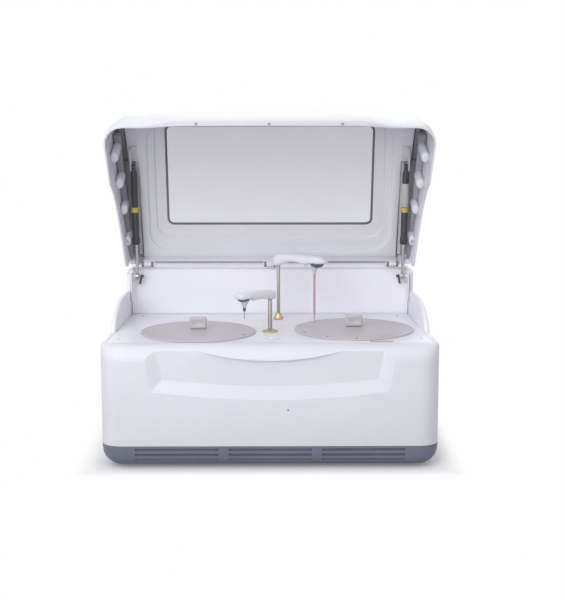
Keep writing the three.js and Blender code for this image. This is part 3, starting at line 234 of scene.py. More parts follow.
def shade_highlight_dust_and_wear_group():
    """Shader group for every hard finish: dust and painted shade in its corners, and its edges rubbed and
    painted lighter as a highlight.
    """
    tree = bpy.data.node_groups.new("shade_highlight_dust_and_wear", "ShaderNodeTree")
    new_socket(tree, "Color", "INPUT", "NodeSocketColor")
    new_socket(tree, "Dusty Shade Color", "INPUT", "NodeSocketColor", (0.42, 0.41, 0.38, 1))
    new_socket(tree, "Dusty Shade", "INPUT", "NodeSocketFloat", 0.3)
    new_socket(tree, "Highlight and Rubbing Color", "INPUT", "NodeSocketColor", (0.9, 0.9, 0.9, 1))
    new_socket(tree, "Highlight and Rubbing", "INPUT", "NodeSocketFloat", 0.15)
    new_socket(tree, "Color", "OUTPUT", "NodeSocketColor")
    new_socket(tree, "Dusty Shade Mask", "OUTPUT", "NodeSocketFloat")
    given = tree.nodes.new("NodeGroupInput").outputs
    made = tree.nodes.new("NodeGroupOutput").inputs
    place = tree.nodes.new("ShaderNodeTexCoord").outputs["Object"]
    speck = noise_of(tree, place, scale=80, detail=6)

    # Dust settles where a corner is shut in, and painted shade darkens it there
    corner = tree.nodes.new("ShaderNodeAmbientOcclusion")
    corner.samples = 6
    corner.inputs["Distance"].default_value = 0.012
    shut = between(tree, corner.outputs["AO"], 0.8, 0.2)
    dust_and_corner_shade = maths(tree, "MULTIPLY", maths(tree, "MULTIPLY", shut, speck), given["Dusty Shade"])
    dusty_and_shaded = blend_of(tree, dust_and_corner_shade, given["Color"], given["Dusty Shade Color"])

    # An edge is where a rounded normal leaves the face's own. There the colour is painted lighter, as rubbing
    # and as a painted highlight
    rounded = tree.nodes.new("ShaderNodeBevel")
    rounded.samples = 4
    rounded.inputs["Radius"].default_value = 0.001
    facing = tree.nodes.new("ShaderNodeNewGeometry")
    turn = tree.nodes.new("ShaderNodeVectorMath")
    turn.operation = "DOT_PRODUCT"
    tree.links.new(rounded.outputs["Normal"], turn.inputs[0])
    tree.links.new(facing.outputs["Normal"], turn.inputs[1])
    edge = between(tree, turn.outputs["Value"], 0.99, 0.8)
    rub_and_highlight = maths(tree, "MULTIPLY", maths(tree, "MULTIPLY", edge, given["Highlight and Rubbing"]), speck)
    tree.links.new(blend_of(tree, rub_and_highlight, dusty_and_shaded, given["Highlight and Rubbing Color"]), made["Color"])
    tree.links.new(dust_and_corner_shade, made["Dusty Shade Mask"])
    return tree


shade_highlight_dust_and_wear = shade_highlight_dust_and_wear_group()


def with_shade_highlight_dust_and_wear(tree, color, dust_and_corner_shade, rubbing_and_edge_highlight):
    """A colour with dust and painted shade laid in its corners and its edges painted lighter, as rubbing and
    as a highlight, and the mask of the dust and shade.
    """
    shaded_and_worn = tree.nodes.new("ShaderNodeGroup")
    shaded_and_worn.node_tree = shade_highlight_dust_and_wear
    tree.links.new(color, shaded_and_worn.inputs["Color"])
    shaded_and_worn.inputs["Dusty Shade"].default_value = dust_and_corner_shade
    shaded_and_worn.inputs["Highlight and Rubbing"].default_value = rubbing_and_edge_highlight
    return shaded_and_worn.outputs["Color"], shaded_and_worn.outputs["Dusty Shade Mask"]


def relief(tree, shader, height, depth, strength=1):
    """Gives a shader the fine relief of a pattern's height."""
    bump = tree.nodes.new("ShaderNodeBump")
    bump.inputs["Distance"].default_value = depth
    bump.inputs["Strength"].default_value = strength
    tree.links.new(height, bump.inputs["Height"])
    tree.links.new(bump.outputs["Normal"], shader.inputs["Normal"])


def new_finish(name):
    """A new material, with its node tree, its shader and the place on the piece that its patterns follow."""
    finish = bpy.data.materials.new(name)
    finish.use_nodes = True
    tree = finish.node_tree
    place = tree.nodes.new("ShaderNodeTexCoord").outputs["Object"]
    return finish, tree, tree.nodes["Principled BSDF"], place


def moulded_plastic(name, color, roughness, mottle=0.03, dust_and_corner_shade=0.3, rubbing_and_edge_highlight=0.15, grain=1400, depth=0.00004):
    """Moulded plastic of one colour: flow marks, hand marks in its sheen and a fine spark-eroded grain."""
    finish, tree, plastic, place = new_finish(name)
    flow = spread(tree, noise_of(tree, place, scale=6, detail=4), 1 - mottle, 1 + mottle)
    flowed = tree.nodes.new("ShaderNodeVectorMath")
    flowed.operation = "SCALE"
    flowed.inputs[0].default_value = color
    tree.links.new(flow, flowed.inputs["Scale"])
    # Dust and painted shade darken its corners, and its edges are painted lighter, as rubbing and as a
    # highlight
    shaded_and_worn, dust_and_shade_mask = with_shade_highlight_dust_and_wear(tree, flowed.outputs[0], dust_and_corner_shade, rubbing_and_edge_highlight)
    tree.links.new(shaded_and_worn, plastic.inputs["Base Color"])
    hands = noise_of(tree, place, scale=20, detail=5)
    sheen = spread(tree, hands, roughness - 0.05, roughness + 0.07)
    matt = maths(tree, "MULTIPLY", dust_and_shade_mask, 0.3)
    tree.links.new(maths(tree, "ADD", sheen, matt), plastic.inputs["Roughness"])
    relief(tree, plastic, noise_of(tree, place, scale=grain, detail=2), depth, strength=0.4)
    return finish


def alone(piece):
    """Selects one piece and nothing else, ready for an operator."""
    if bpy.context.mode != "OBJECT":
        bpy.ops.object.mode_set(mode="OBJECT")
    bpy.ops.object.select_all(action="DESELECT")
    piece.select_set(True)
    bpy.context.view_layer.objects.active = piece


def welded_copy(node, name):
    """A copy of a CAD solid to be worked on, its stored normals cleared and its triangles welded together."""
    piece = bpy.data.objects.new(name, frame["nodes"][node].data.copy())
    bpy.context.scene.collection.objects.link(piece)
    alone(piece)
    bpy.ops.mesh.customdata_custom_splitnormals_clear()
    bpy.ops.object.mode_set(mode="EDIT")
    bpy.ops.mesh.select_all(action="SELECT")
    bpy.ops.mesh.remove_doubles(threshold=0.00001)
    bpy.ops.object.mode_set(mode="OBJECT")
    return piece


def stands_for(piece, node, finish, rim=0.0008, angle=38):
    """Rounds the rims of a worked copy, smooths its faces, and sets it in place of its CAD solid."""
    alone(piece)
    bevel = piece.modifiers.new("rim", "BEVEL")
    bevel.width = rim
    bevel.segments = 2
    bevel.limit_method = "ANGLE"
    bevel.angle_limit = math.radians(angle)
    bpy.ops.object.modifier_apply(modifier="rim")
    bpy.ops.object.shade_smooth_by_angle(angle=math.radians(angle))
    piece.data.materials.clear()
    piece.data.materials.append(finish)
    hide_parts(node)
    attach(piece, frame["nodes"][node]["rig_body"])
    return piece


def with_soft_rims(node, name, finish, rim=0.0008, angle=38):
    """The moulding that stands for a CAD solid: its form, welded, with rounded rims and smooth faces."""
    return stands_for(welded_copy(node, name), node, finish, rim, angle)


blue_grey = moulded_plastic("base_blue_grey", (0.150, 0.155, 0.232), 0.45, mottle=0.08, rubbing_and_edge_highlight=0.2)
with_soft_rims("base_tray", "base_tray_moulding", blue_grey)


def block(middle, size, turned=(0, 0, 0)):
    """A block of a size round its middle, to be shaped further."""
    bpy.ops.mesh.primitive_cube_add(size=1, location=middle, rotation=turned)
    piece = bpy.context.active_object
    piece.scale = size
    alone(piece)
    bpy.ops.object.transform_apply(location=True, rotation=True, scale=True)
    return piece


louver_size = (0.190, 0.0012, 0.0105)
louver_slant = math.radians(25)
louver_setback = 0.0078
louver_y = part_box("base_tray")[0][1] + louver_setback
lowest_louver_z = 0.022
louver_row_pitch = 0.0115
louver_group_pitch = 0.209


def tray_louver(group, row):
    """The slanted louver moulded behind an air slot, which keeps splashes out of the cabinet."""
    middle = ((group - 1) * louver_group_pitch, louver_y, lowest_louver_z + row * louver_row_pitch)
    louver = block(middle, louver_size)
    bpy.ops.transform.rotate(value=louver_slant, orient_axis="X", center_override=middle)
    bpy.ops.object.transform_apply(location=True, rotation=True, scale=True)
    louver.name = f"tray_louver_{group}_{row}"
    louver.data.materials.append(blue_grey)
    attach(louver, "cabinet")


for group in range(3):
    for row in range(3):
        tray_louver(group, row)


# Feet and chassis plate
# Four turned rubber feet are pressed into the tray. The chassis is a galvanised steel plate, and all the
# modules inside the cabinet are screwed down on it.


def worked_metal(name, color, roughness, stretch, rubbing_and_edge_highlight=0.2, dust_and_corner_shade=0.2, tint=0.12, scale=60):
    """Bare metal with the fine lines of its drawing or turning, stretched along one way."""
    finish, tree, metal, place = new_finish(name)
    metal.inputs["Metallic"].default_value = 1
    drawn = tree.nodes.new("ShaderNodeMapping")
    drawn.inputs["Scale"].default_value = stretch
    tree.links.new(place, drawn.inputs["Vector"])
    lines = noise_of(tree, drawn.outputs["Vector"], scale=scale, detail=6)
    shade = blend_of(tree, spread(tree, lines, 0, 1), tuple(c * (1 - tint) for c in color), color)
    # Dust and painted shade darken its corners, and its edges are painted lighter, as rubbing and as a
    # highlight
    shaded_and_worn, dust_and_shade_mask = with_shade_highlight_dust_and_wear(tree, shade, dust_and_corner_shade, rubbing_and_edge_highlight)
    tree.links.new(shaded_and_worn, metal.inputs["Base Color"])
    cloud = noise_of(tree, place, scale=12, detail=4)
    handled = spread(tree, cloud, roughness - 0.06, roughness + 0.08)
    tree.links.new(maths(tree, "ADD", handled, dust_and_shade_mask), metal.inputs["Roughness"])
    relief(tree, metal, lines, depth=0.00003, strength=0.5)
    return finish


def coated(node, finish):
    """Gives its finish to a CAD solid that stays as it is."""
    materials = frame["nodes"][node].data.materials
    materials.clear()
    materials.append(finish)


foot_rubber = moulded_plastic(
    "foot_rubber", (0.03, 0.03, 0.032), 0.75, mottle=0.2, dust_and_corner_shade=0.6, rubbing_and_edge_highlight=0.05, grain=500,
)
for end in ("front", "rear"):
    for side in ("left", "right"):
        with_soft_rims(f"foot_{end}_{side}", f"foot_{end}_{side}_rubber", foot_rubber, rim=0.0006)

sheet_steel = worked_metal("galvanised_sheet", (0.60, 0.61, 0.62), 0.42, (1, 1, 1), scale=35, tint=0.25)
for node in ("chassis_plate", "power_supply"):
    coated(node, sheet_steel)


# Modules on the chassis
# The control board and the power supply are at the rear. The photometer, in a black case, and the cast
# syringe pump stand behind the front cover. Spindle motors carry the discs, and cast towers drive the arms.


def board_finish():
    """Green solder mask with paler copper tracks under it and small parts in rows."""
    finish, tree, mask, place = new_finish("circuit_board")
    tracks = tree.nodes.new("ShaderNodeTexBrick")
    tracks.inputs["Scale"].default_value = 90
    tracks.inputs["Mortar Size"].default_value = 0.03
    tracks.inputs["Color1"].default_value = (0.012, 0.075, 0.035, 1)
    tracks.inputs["Color2"].default_value = (0.010, 0.060, 0.030, 1)
    tracks.inputs["Mortar"].default_value = (0.05, 0.17, 0.06, 1)
    tree.links.new(place, tracks.inputs["Vector"])
    parts = tree.nodes.new("ShaderNodeTexVoronoi")
    parts.inputs["Scale"].default_value = 160
    parts.distance = "CHEBYCHEV"
    tree.links.new(place, parts.inputs["Vector"])
    pads = between(tree, parts.outputs["Distance"], 0.16, 0.12)
    shade = blend_of(tree, pads, tracks.outputs["Color"], (0.55, 0.53, 0.48))
    tree.links.new(shade, mask.inputs["Base Color"])
    tree.links.new(between(tree, pads, 0, 1, 0.35, 0.25), mask.inputs["Roughness"])
    relief(tree, mask, tracks.outputs["Fac"], depth=0.0001)
    return finish


green_board = board_finish()
cast_alloy = worked_metal("cast_alloy", (0.52, 0.52, 0.53), 0.5, (1, 1, 1), scale=120, tint=0.2, dust_and_corner_shade=0.35)
machined = worked_metal("machined_steel", (0.62, 0.61, 0.59), 0.3, (1, 1, 0.05), scale=300)
dark_case = moulded_plastic("black_case", (0.028, 0.028, 0.031), 0.5, mottle=0.2, dust_and_corner_shade=0.35)
for node, finish in (
    ("control_board", green_board), ("photometer", dark_case), ("syringe_pump", cast_alloy),
    ("syringe_plunger", machined), ("sample_motor", dark_case), ("reaction_motor", dark_case),
    ("short_arm_drive", cast_alloy), ("tall_arm_drive", cast_alloy),
):
    coated(node, finish)


# Outer covers and work deck
# The front cover, with its pressed-in panel, the side covers, with their wings, and the sunken deck are
# moulded from white ABS with a cool cast. The side covers and the deck get a copy of the white painted
# lighter, to lift the shade that falls on them.

white = moulded_plastic("white_moulding", (0.80, 0.80, 0.875), 0.4, mottle=0.012, dust_and_corner_shade=0.15)
shade_lifted_white = moulded_plastic("shade_lifted_white_moulding", (0.90, 0.90, 0.955), 0.4, mottle=0.012, dust_and_corner_shade=0.15)
for node in ("left_side_cover", "right_side_cover", "work_deck"):
    with_soft_rims(node, node + "_moulding", shade_lifted_white)
front_cover = with_soft_rims("front_cover", "front_cover_moulding", white)

# The flanks of the pressed-in panel meet its floor and the cover's face in crisp lines
panel_side = 0.29
panel_face_y = -0.2695
panel_foot, panel_head = 0.15, 0.277
crisp_angle = math.radians(14)
alone(front_cover)
bpy.ops.object.mode_set(mode="EDIT")
bpy.ops.mesh.select_mode(type="EDGE")
bpy.ops.mesh.select_all(action="DESELECT")
cover_mesh = bmesh.from_edit_mesh(front_cover.data)
for edge in cover_mesh.edges:
    middle = (edge.verts[0].co + edge.verts[1].co) / 2
    on_face = abs(middle.x) < panel_side and middle.y < panel_face_y
    in_panel = on_face and panel_foot < middle.z < panel_head
    edge.select_set(in_panel and edge.calc_face_angle(0) > crisp_angle)
bmesh.update_edit_mesh(front_cover.data)
bpy.ops.mesh.mark_sharp()
bpy.ops.object.mode_set(mode="OBJECT")


def in_place(piece, name, finish, body, smooth=40):
    """Finishes a modelled piece: its place goes into its mesh, and it rides on its body."""
    alone(piece)
    bpy.ops.object.transform_apply(location=True, rotation=True, scale=True)
    bpy.ops.object.shade_smooth_by_angle(angle=math.radians(smooth))
    piece.name = name
    piece.data.materials.clear()
    piece.data.materials.append(finish)
    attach(piece, body)


def pick_faces(piece, wanted):
    """Selects, in edit mode, the faces that pass a test, and nothing else."""
    bpy.ops.mesh.select_mode(type="FACE")
    bpy.ops.mesh.select_all(action="DESELECT")
    mesh = bmesh.from_edit_mesh(piece.data)
    mesh.normal_update()
    for face in mesh.faces:
        face.select_set(wanted(face))
    bmesh.update_edit_mesh(piece.data)


def round_edges(piece, width, segments=2, angle=30):
    """Rounds the sharp edges of a piece."""
    alone(piece)
    bevel = piece.modifiers.new("round", "BEVEL")
    bevel.width = width
    bevel.segments = segments
    bevel.limit_method = "ANGLE"
    bevel.angle_limit = math.radians(angle)
    bpy.ops.object.modifier_apply(modifier="round")


def cap_screw(name, place, along, radius, height, finish, body):
    """A round-headed screw with a socket, standing on a surface at a place and along its normal."""
    socket_rim = radius * 0.45
    socket_depth = height * 0.6
    socket_taper = (0.8, 0.8, 1)
    sunk = height * 0.05
    bpy.ops.mesh.primitive_cylinder_add(vertices=20, radius=radius, depth=height, location=(0, 0, 0))
    screw = bpy.context.active_object
    alone(screw)
    bpy.ops.object.mode_set(mode="EDIT")
    pick_faces(screw, lambda face: face.normal.z > 0.9)
    bpy.ops.mesh.inset(thickness=socket_rim)
    bpy.ops.mesh.extrude_region_move(TRANSFORM_OT_translate={"value": (0, 0, -socket_depth)})
    bpy.ops.transform.resize(value=socket_taper)
    bpy.ops.object.mode_set(mode="OBJECT")
    round_edges(screw, width=height * 0.25)
    screw.rotation_euler = Vector(along).to_track_quat("Z", "Y").to_euler()
    screw.location = Vector(place) + Vector(along).normalized() * (height / 2 - sunk)
    in_place(screw, name, finish, body)


screw_steel = worked_metal("screw_steel", (0.55, 0.54, 0.52), 0.35, (1, 1, 1), scale=400)
deck_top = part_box("work_deck")[1][2]
for number, (x, y) in enumerate((
    (0.141, -0.159), (0.199, -0.182), (-0.345, -0.190), (0.345, -0.190), (-0.318, 0.120), (0.318, 0.120),
)):
    cap_screw(
        f"deck_screw_{number}", (x, y, deck_top), (0, 0, 1),
        radius=0.0026, height=0.0012, finish=screw_steel, body="cabinet",
    )

# A steel ring round the small drain in the deck
drain_place = (0.018, -0.189, deck_top + 0.0003)
bpy.ops.mesh.primitive_torus_add(
    major_radius=0.0042, minor_radius=0.0009, major_segments=32, minor_segments=8, location=drain_place,
)
in_place(bpy.context.active_object, "deck_drain_ring", screw_steel, "cabinet")

# A plain tan plate let into the deck's front edge
tan_plate = moulded_plastic("tan_plate", (0.56, 0.47, 0.42), 0.5, mottle=0.06, dust_and_corner_shade=0.3)
front_plate_place = (0.251, -0.2215, deck_top + 0.0002)
front_plate_size = (0.052, 0.017, 0.0010)
front_plate = block(front_plate_place, front_plate_size)
round_edges(front_plate, width=0.0004)
in_place(front_plate, "deck_front_plate", tan_plate, "cabinet")

# A small dark lamp in the front cover, under its panel, half as deep as it is wide
lens_dark = moulded_plastic("dark_lens", (0.05, 0.05, 0.06), 0.2, mottle=0.1, dust_and_corner_shade=0.1)
front_lamp_place = (0.040, -0.2795, 0.136)
bpy.ops.mesh.primitive_uv_sphere_add(segments=20, ring_count=10, radius=0.0022, location=front_lamp_place)
front_lamp = bpy.context.active_object
front_lamp.scale = (1, 0.5, 1)
in_place(front_lamp, "front_lamp", lens_dark, "cabinet")


# Rear housing
# The back wall behind the deck, the cover on top of it, which carries the hinges, and the coated steel
# panel that closes the rear, with its fan behind a wire guard, the mains inlet and the rocker switch.

# The back wall and the rear cover take the same white painted lighter, to lift the shade under the lid
for node in ("back_wall", "rear_top_cover"):
    with_soft_rims(node, node + "_moulding", shade_lifted_white)

# A white plug closes the slot between the back wall and the rear cover at the top of each post
plug_x, plug_y, plug_z = 0.34925, 0.1512, 0.3843
plug_size = (0.0105, 0.0040, 0.0165)
for side, outward in (("left", -1), ("right", 1)):
    plug = block((outward * plug_x, plug_y, plug_z), plug_size)
    round_edges(plug, width=0.0005)
    in_place(plug, f"rear_post_plug_{side}", shade_lifted_white, "cabinet")

coated_panel = moulded_plastic(
    "coated_panel", (0.50, 0.51, 0.53), 0.55, mottle=0.04, dust_and_corner_shade=0.45, grain=700, depth=0.00009,
)
with_soft_rims("rear_panel", "rear_panel_sheet", coated_panel, rim=0.0004)
for node in ("power_inlet", "fan_frame", "fan_rotor"):
    with_soft_rims(node, node + "_moulding", dark_case, rim=0.0005)
rocker_black = moulded_plastic("rocker_black", (0.02, 0.02, 0.022), 0.25, mottle=0.1, dust_and_corner_shade=0.2, rubbing_and_edge_highlight=0.4)
with_soft_rims("power_switch", "power_switch_rocker", rocker_black, rim=0.0006)

guard_wire = worked_metal("guard_wire", (0.68, 0.68, 0.69), 0.25, (1, 1, 1), scale=200)
fan_low, fan_high = (Vector(corner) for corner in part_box("fan_frame"))
fan_middle = (fan_low + fan_high) / 2
fan_half = (fan_high.x - fan_low.x) / 2
panel_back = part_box("rear_panel")[1][1]


def fan_guard():
    """Four wire rings, and two crossed spokes welded on them, just clear of the rear panel."""
    wire_radius = 0.0009
    wire_step = 0.0012
    spoke_length = 0.118
    rings_y = panel_back + wire_step
    parts = []
    for ring_radius in (0.010, 0.019, 0.028, 0.037):
        bpy.ops.mesh.primitive_torus_add(
            major_radius=ring_radius, minor_radius=wire_radius, major_segments=56, minor_segments=8,
            location=(fan_middle.x, rings_y, fan_middle.z), rotation=(math.radians(90), 0, 0),
        )
        parts.append(bpy.context.active_object)
    for turn in (45, 135):
        bpy.ops.mesh.primitive_cylinder_add(
            vertices=10, radius=wire_radius, depth=spoke_length,
            location=(fan_middle.x, rings_y + wire_step, fan_middle.z), rotation=(0, math.radians(turn), 0),
        )
        parts.append(bpy.context.active_object)
    alone(parts[0])
    for part in parts:
        part.select_set(True)
    bpy.ops.object.join()
    in_place(parts[0], "fan_guard", guard_wire, "cabinet")


fan_guard()
fan_screw_inset = 0.0047
fan_screw_reach = fan_half - fan_screw_inset
for number, (across, up) in enumerate(((-1, -1), (1, -1), (-1, 1), (1, 1))):
    place = (fan_middle.x + across * fan_screw_reach, panel_back, fan_middle.z + up * fan_screw_reach)
    cap_screw(
        f"fan_screw_{number}", place, (0, 1, 0),
        radius=0.0034, height=0.0024, finish=screw_steel, body="cabinet",
    )
for number, (x, z) in enumerate((
    (-0.335, 0.070), (0.335, 0.070), (-0.335, 0.220), (0.335, 0.220),
    (-0.330, 0.360), (0.330, 0.360), (0, 0.070), (0, 0.375),
)):
    cap_screw(
        f"panel_screw_{number}", (x, panel_back, z), (0, 1, 0),
        radius=0.0032, height=0.0022, finish=screw_steel, body="cabinet",
    )


# Disc wells
# Under each cover a white tub hangs from the deck, and a carousel turns in it on its spindle. The covers
# are smoked acrylic discs that lift off by a moulded grip, with dark marks where the needles go in.

tub_white = moulded_plastic("tub_white", (0.72, 0.72, 0.74), 0.45, mottle=0.03, dust_and_corner_shade=0.35)
carousel_grey = moulded_plastic("carousel_grey", (0.42, 0.43, 0.45), 0.35, mottle=0.05, dust_and_corner_shade=0.3)
smoked = moulded_plastic("smoked_acrylic", (0.55, 0.52, 0.55), 0.38, mottle=0.025, dust_and_corner_shade=0.15, rubbing_and_edge_highlight=0.03)
for disc in ("sample", "reaction"):
    coated(f"{disc}_tub", tub_white)
    coated(f"{disc}_carousel", carousel_grey)
    with_soft_rims(f"{disc}_cover", f"{disc}_cover_disc", smoked, rim=0.0007)


def disc_grip(disc):
    """The grip on a cover: an upright rounded bar with a finger hollow in both faces."""
    hollow_rim = 0.0018
    hollow_flank = 0.0022
    hollow_depth = 0.0016
    low, high = (Vector(corner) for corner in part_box(f"{disc}_knob"))
    grip = block((low + high) / 2, high - low)
    round_edges(grip, width=0.0045, segments=5)
    bpy.ops.object.mode_set(mode="EDIT")
    pick_faces(grip, lambda face: abs(face.normal.y) > 0.99)
    bpy.ops.mesh.inset(thickness=hollow_rim)
    bpy.ops.mesh.inset(thickness=hollow_flank, depth=-hollow_depth)
    bpy.ops.object.mode_set(mode="OBJECT")
    in_place(grip, f"{disc}_grip", smoked, f"{disc}_cover")
    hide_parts(f"{disc}_knob")


disc_grip("sample")
disc_grip("reaction")
mark_dark = moulded_plastic("cover_mark", (0.10, 0.045, 0.045), 0.5, mottle=0.1, dust_and_corner_shade=0.2)
disc_thickness = 0.003
for disc, number, x, y in (
    ("sample", 0, -0.1767, -0.1867), ("reaction", 0, 0.1968, -0.1990), ("reaction", 1, 0.1300, -0.1800),
):
    disc_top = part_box(f"{disc}_cover")[0][2] + disc_thickness
    cap_screw(
        f"{disc}_cover_mark_{number}", (x, y, disc_top), (0, 0, 1),
        radius=0.0024, height=0.0012, finish=mark_dark, body=f"{disc}_cover",
    )


# Pipetting arms
# Each arm is a white moulded housing on a ground steel post that turns and sinks in a brass sleeve. The
# needle hangs from the housing's head, which is open below, where a dark plate closes it.

brass = worked_metal("brass_sleeve", (0.62, 0.50, 0.30), 0.35, (1, 1, 0.05), scale=200, dust_and_corner_shade=0.4)
post_steel = worked_metal("ground_post", (0.40, 0.375, 0.345), 0.32, (1, 1, 0.03), scale=500, tint=0.2)
for arm in ("short", "tall"):
    with_soft_rims(f"{arm}_arm_sleeve", f"{arm}_arm_sleeve_brass", brass, rim=0.0005)
    with_soft_rims(f"{arm}_arm_post", f"{arm}_arm_post_steel", post_steel, rim=0.0004)
    with_soft_rims(f"{arm}_arm_housing", f"{arm}_arm_housing_moulding", white, rim=0.001, angle=70)


def needle_finish(name, cone_foot, sheath_foot, sheath):
    """Along the needle: the white cone, the coloured sheath, and the bare steel below it."""
    seam = 0.0002
    finish, tree, skin, place = new_finish(name)
    height = tree.nodes.new("ShaderNodeSeparateXYZ")
    tree.links.new(place, height.inputs[0])
    over_cone = between(tree, height.outputs["Z"], cone_foot - seam, cone_foot)
    over_sheath = between(tree, height.outputs["Z"], sheath_foot - seam, sheath_foot)
    fine = noise_of(tree, place, scale=300, detail=4)
    sleeve = blend_of(tree, fine, tuple(c * 0.85 for c in sheath), sheath)
    steel = blend_of(tree, fine, (0.45, 0.44, 0.45), (0.60, 0.59, 0.60))
    lower = blend_of(tree, over_sheath, steel, sleeve)
    tree.links.new(blend_of(tree, over_cone, lower, (0.58, 0.61, 0.68)), skin.inputs["Base Color"])
    tree.links.new(maths(tree, "SUBTRACT", 1, over_sheath), skin.inputs["Metallic"])
    tree.links.new(spread(tree, fine, 0.28, 0.42), skin.inputs["Roughness"])
    relief(tree, skin, fine, depth=0.00002)
    return finish


short_needle = needle_finish("short_needle", cone_foot=0.347, sheath_foot=0.3385, sheath=(0.12, 0.115, 0.12))
tall_needle = needle_finish("tall_needle", cone_foot=0.400, sheath_foot=0.302, sheath=(0.68, 0.40, 0.48))
with_soft_rims("short_arm_needle", "short_arm_needle_steel", short_needle, rim=0.0002)
with_soft_rims("tall_arm_needle", "tall_arm_needle_steel", tall_needle, rim=0.0002)

head_dark = moulded_plastic("head_plate", (0.10, 0.115, 0.11), 0.45, mottle=0.15, dust_and_corner_shade=0.3)


def middle_of(node):
    """The middle of a CAD solid, seen from above."""
    low, high = (Vector(corner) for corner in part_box(node))
    middle = (low + high) / 2
    middle.z = 0
    return middle


def head_plate(arm, past_needle, half, height):
    """The dark plate that bulges from the open underside of an arm's head, where the needle comes out."""
    post = middle_of(f"{arm}_arm_post")
    to_needle = middle_of(f"{arm}_arm_needle") - post
    bpy.ops.mesh.primitive_uv_sphere_add(segments=40, ring_count=16, radius=1, location=(0, 0, 0))
    plate = bpy.context.active_object
    plate.scale = half
    plate.rotation_euler = (0, 0, math.atan2(to_needle.y, to_needle.x))
    plate.location = post + to_needle * past_needle + Vector((0, 0, height))
    in_place(plate, f"{arm}_arm_head_plate", head_dark, f"{arm}_arm", smooth=60)


head_plate("short", past_needle=1.03, half=(0.0155, 0.0140, 0.0062), height=0.3665)
head_plate("tall", past_needle=1.07, half=(0.0170, 0.0150, 0.0095), height=0.4250)


# Hinges
# Three steel hinges stand on the rear housing. Each has a foot with a knuckle and its pin, and a leaf that
# is screwed to the lid's rear wall. A dark bush shows in each of the leaf's two knuckles.

hinge_coat = moulded_plastic(
    "hinge_powder_coat", (0.80, 0.80, 0.86), 0.5, mottle=0.05, dust_and_corner_shade=0.5, rubbing_and_edge_highlight=0.4, grain=900,
)
pin_dark = worked_metal("hinge_pin_oxide", (0.22, 0.215, 0.21), 0.45, (0.1, 1, 1), scale=300)
joints = {joint["name"]: joint for joint in frame["joints"]}
hinge_line = Vector(joints["lid_hinge"]["pos_m"])


def cross_pin(middle, radius, length, edge, sides):
    """A pin that lies across the analyzer, with rounded ends."""
    bpy.ops.mesh.primitive_cylinder_add(
        vertices=sides, radius=radius, depth=length, location=middle, rotation=(0, math.radians(90), 0),
    )
    pin = bpy.context.active_object
    round_edges(pin, width=edge)
    return pin


hinge_middles = {
    place: hinge_line + Vector((middle_of(f"hinge_base_{place}").x, 0, 0))
    for place in ("left", "middle", "right")
}
bush_reach = 0.0117
for place, hinge_middle in hinge_middles.items():
    with_soft_rims(f"hinge_base_{place}", f"hinge_base_{place}_steel", hinge_coat, rim=0.0004)
    with_soft_rims(f"hinge_leaf_{place}", f"hinge_leaf_{place}_steel", hinge_coat, rim=0.0004)
    for number, end in enumerate((-1, 1)):
        bush_middle = hinge_middle + Vector((end * bush_reach, 0, 0))
        bush = cross_pin(bush_middle, radius=0.0063, length=0.0056, edge=0.0008, sides=32)
        in_place(bush, f"hinge_bush_{place}_{number}", pin_dark, "lid")

foot_screw_reach = 0.008
foot_screw_y, foot_screw_z = 0.1755, 0.4008
foot_screw_xs = [middle.x + end * foot_screw_reach for middle in hinge_middles.values() for end in (-1, 1)]
for number, x in enumerate(foot_screw_xs):
    cap_screw(
        f"hinge_foot_screw_{number}", (x, foot_screw_y, foot_screw_z), (0, 0, 1),
        radius=0.0024, height=0.0016, finish=screw_steel, body="cabinet",
    )


# Lid
# A deep white hood with a light grey liner screwed into it, which steps in to a tinted window in a rubber
# gasket. Dark strips in the channels beside the liner are painted shade. Bosses on the side walls take the
# liner's screws, and three rubber buttons on the rim meet the front cover when the lid is shut.

open_angle = -math.radians(joints["lid_hinge"]["range_deg"][1])


def in_lid(x, forward, height):
    """A place in the lid, forward of the hinge line and above it when shut, as it is with the lid open."""
    return hinge_line + Matrix.Rotation(open_angle, 3, "X") @ Vector((x, -forward, height))


lid_up = in_lid(0, 0, 1) - in_lid(0, 0, 0)
lid_forward = in_lid(0, 1, 0) - in_lid(0, 0, 0)
with_soft_rims("lid_shell", "lid_shell_moulding", white, rim=0.0012)
liner_grey = moulded_plastic("liner_grey", (0.76, 0.76, 0.81), 0.5, mottle=0.02, dust_and_corner_shade=0.3)


def whole_faces(liner, middle, lengthwise):
    """Makes whole faces of the liner's triangles, cut in four so that none of them runs round its window."""
    alone(liner)
    bpy.ops.object.mode_set(mode="EDIT")
    for way in (Vector((1, 0, 0)), lengthwise):
        bpy.ops.mesh.select_all(action="SELECT")
        bpy.ops.mesh.bisect(plane_co=middle, plane_no=way)
        bpy.ops.mesh.mark_seam()
    bpy.ops.mesh.select_all(action="SELECT")
    bpy.ops.mesh.dissolve_limited(angle_limit=math.radians(0.5), delimit={"SEAM"})
    bpy.ops.object.mode_set(mode="OBJECT")


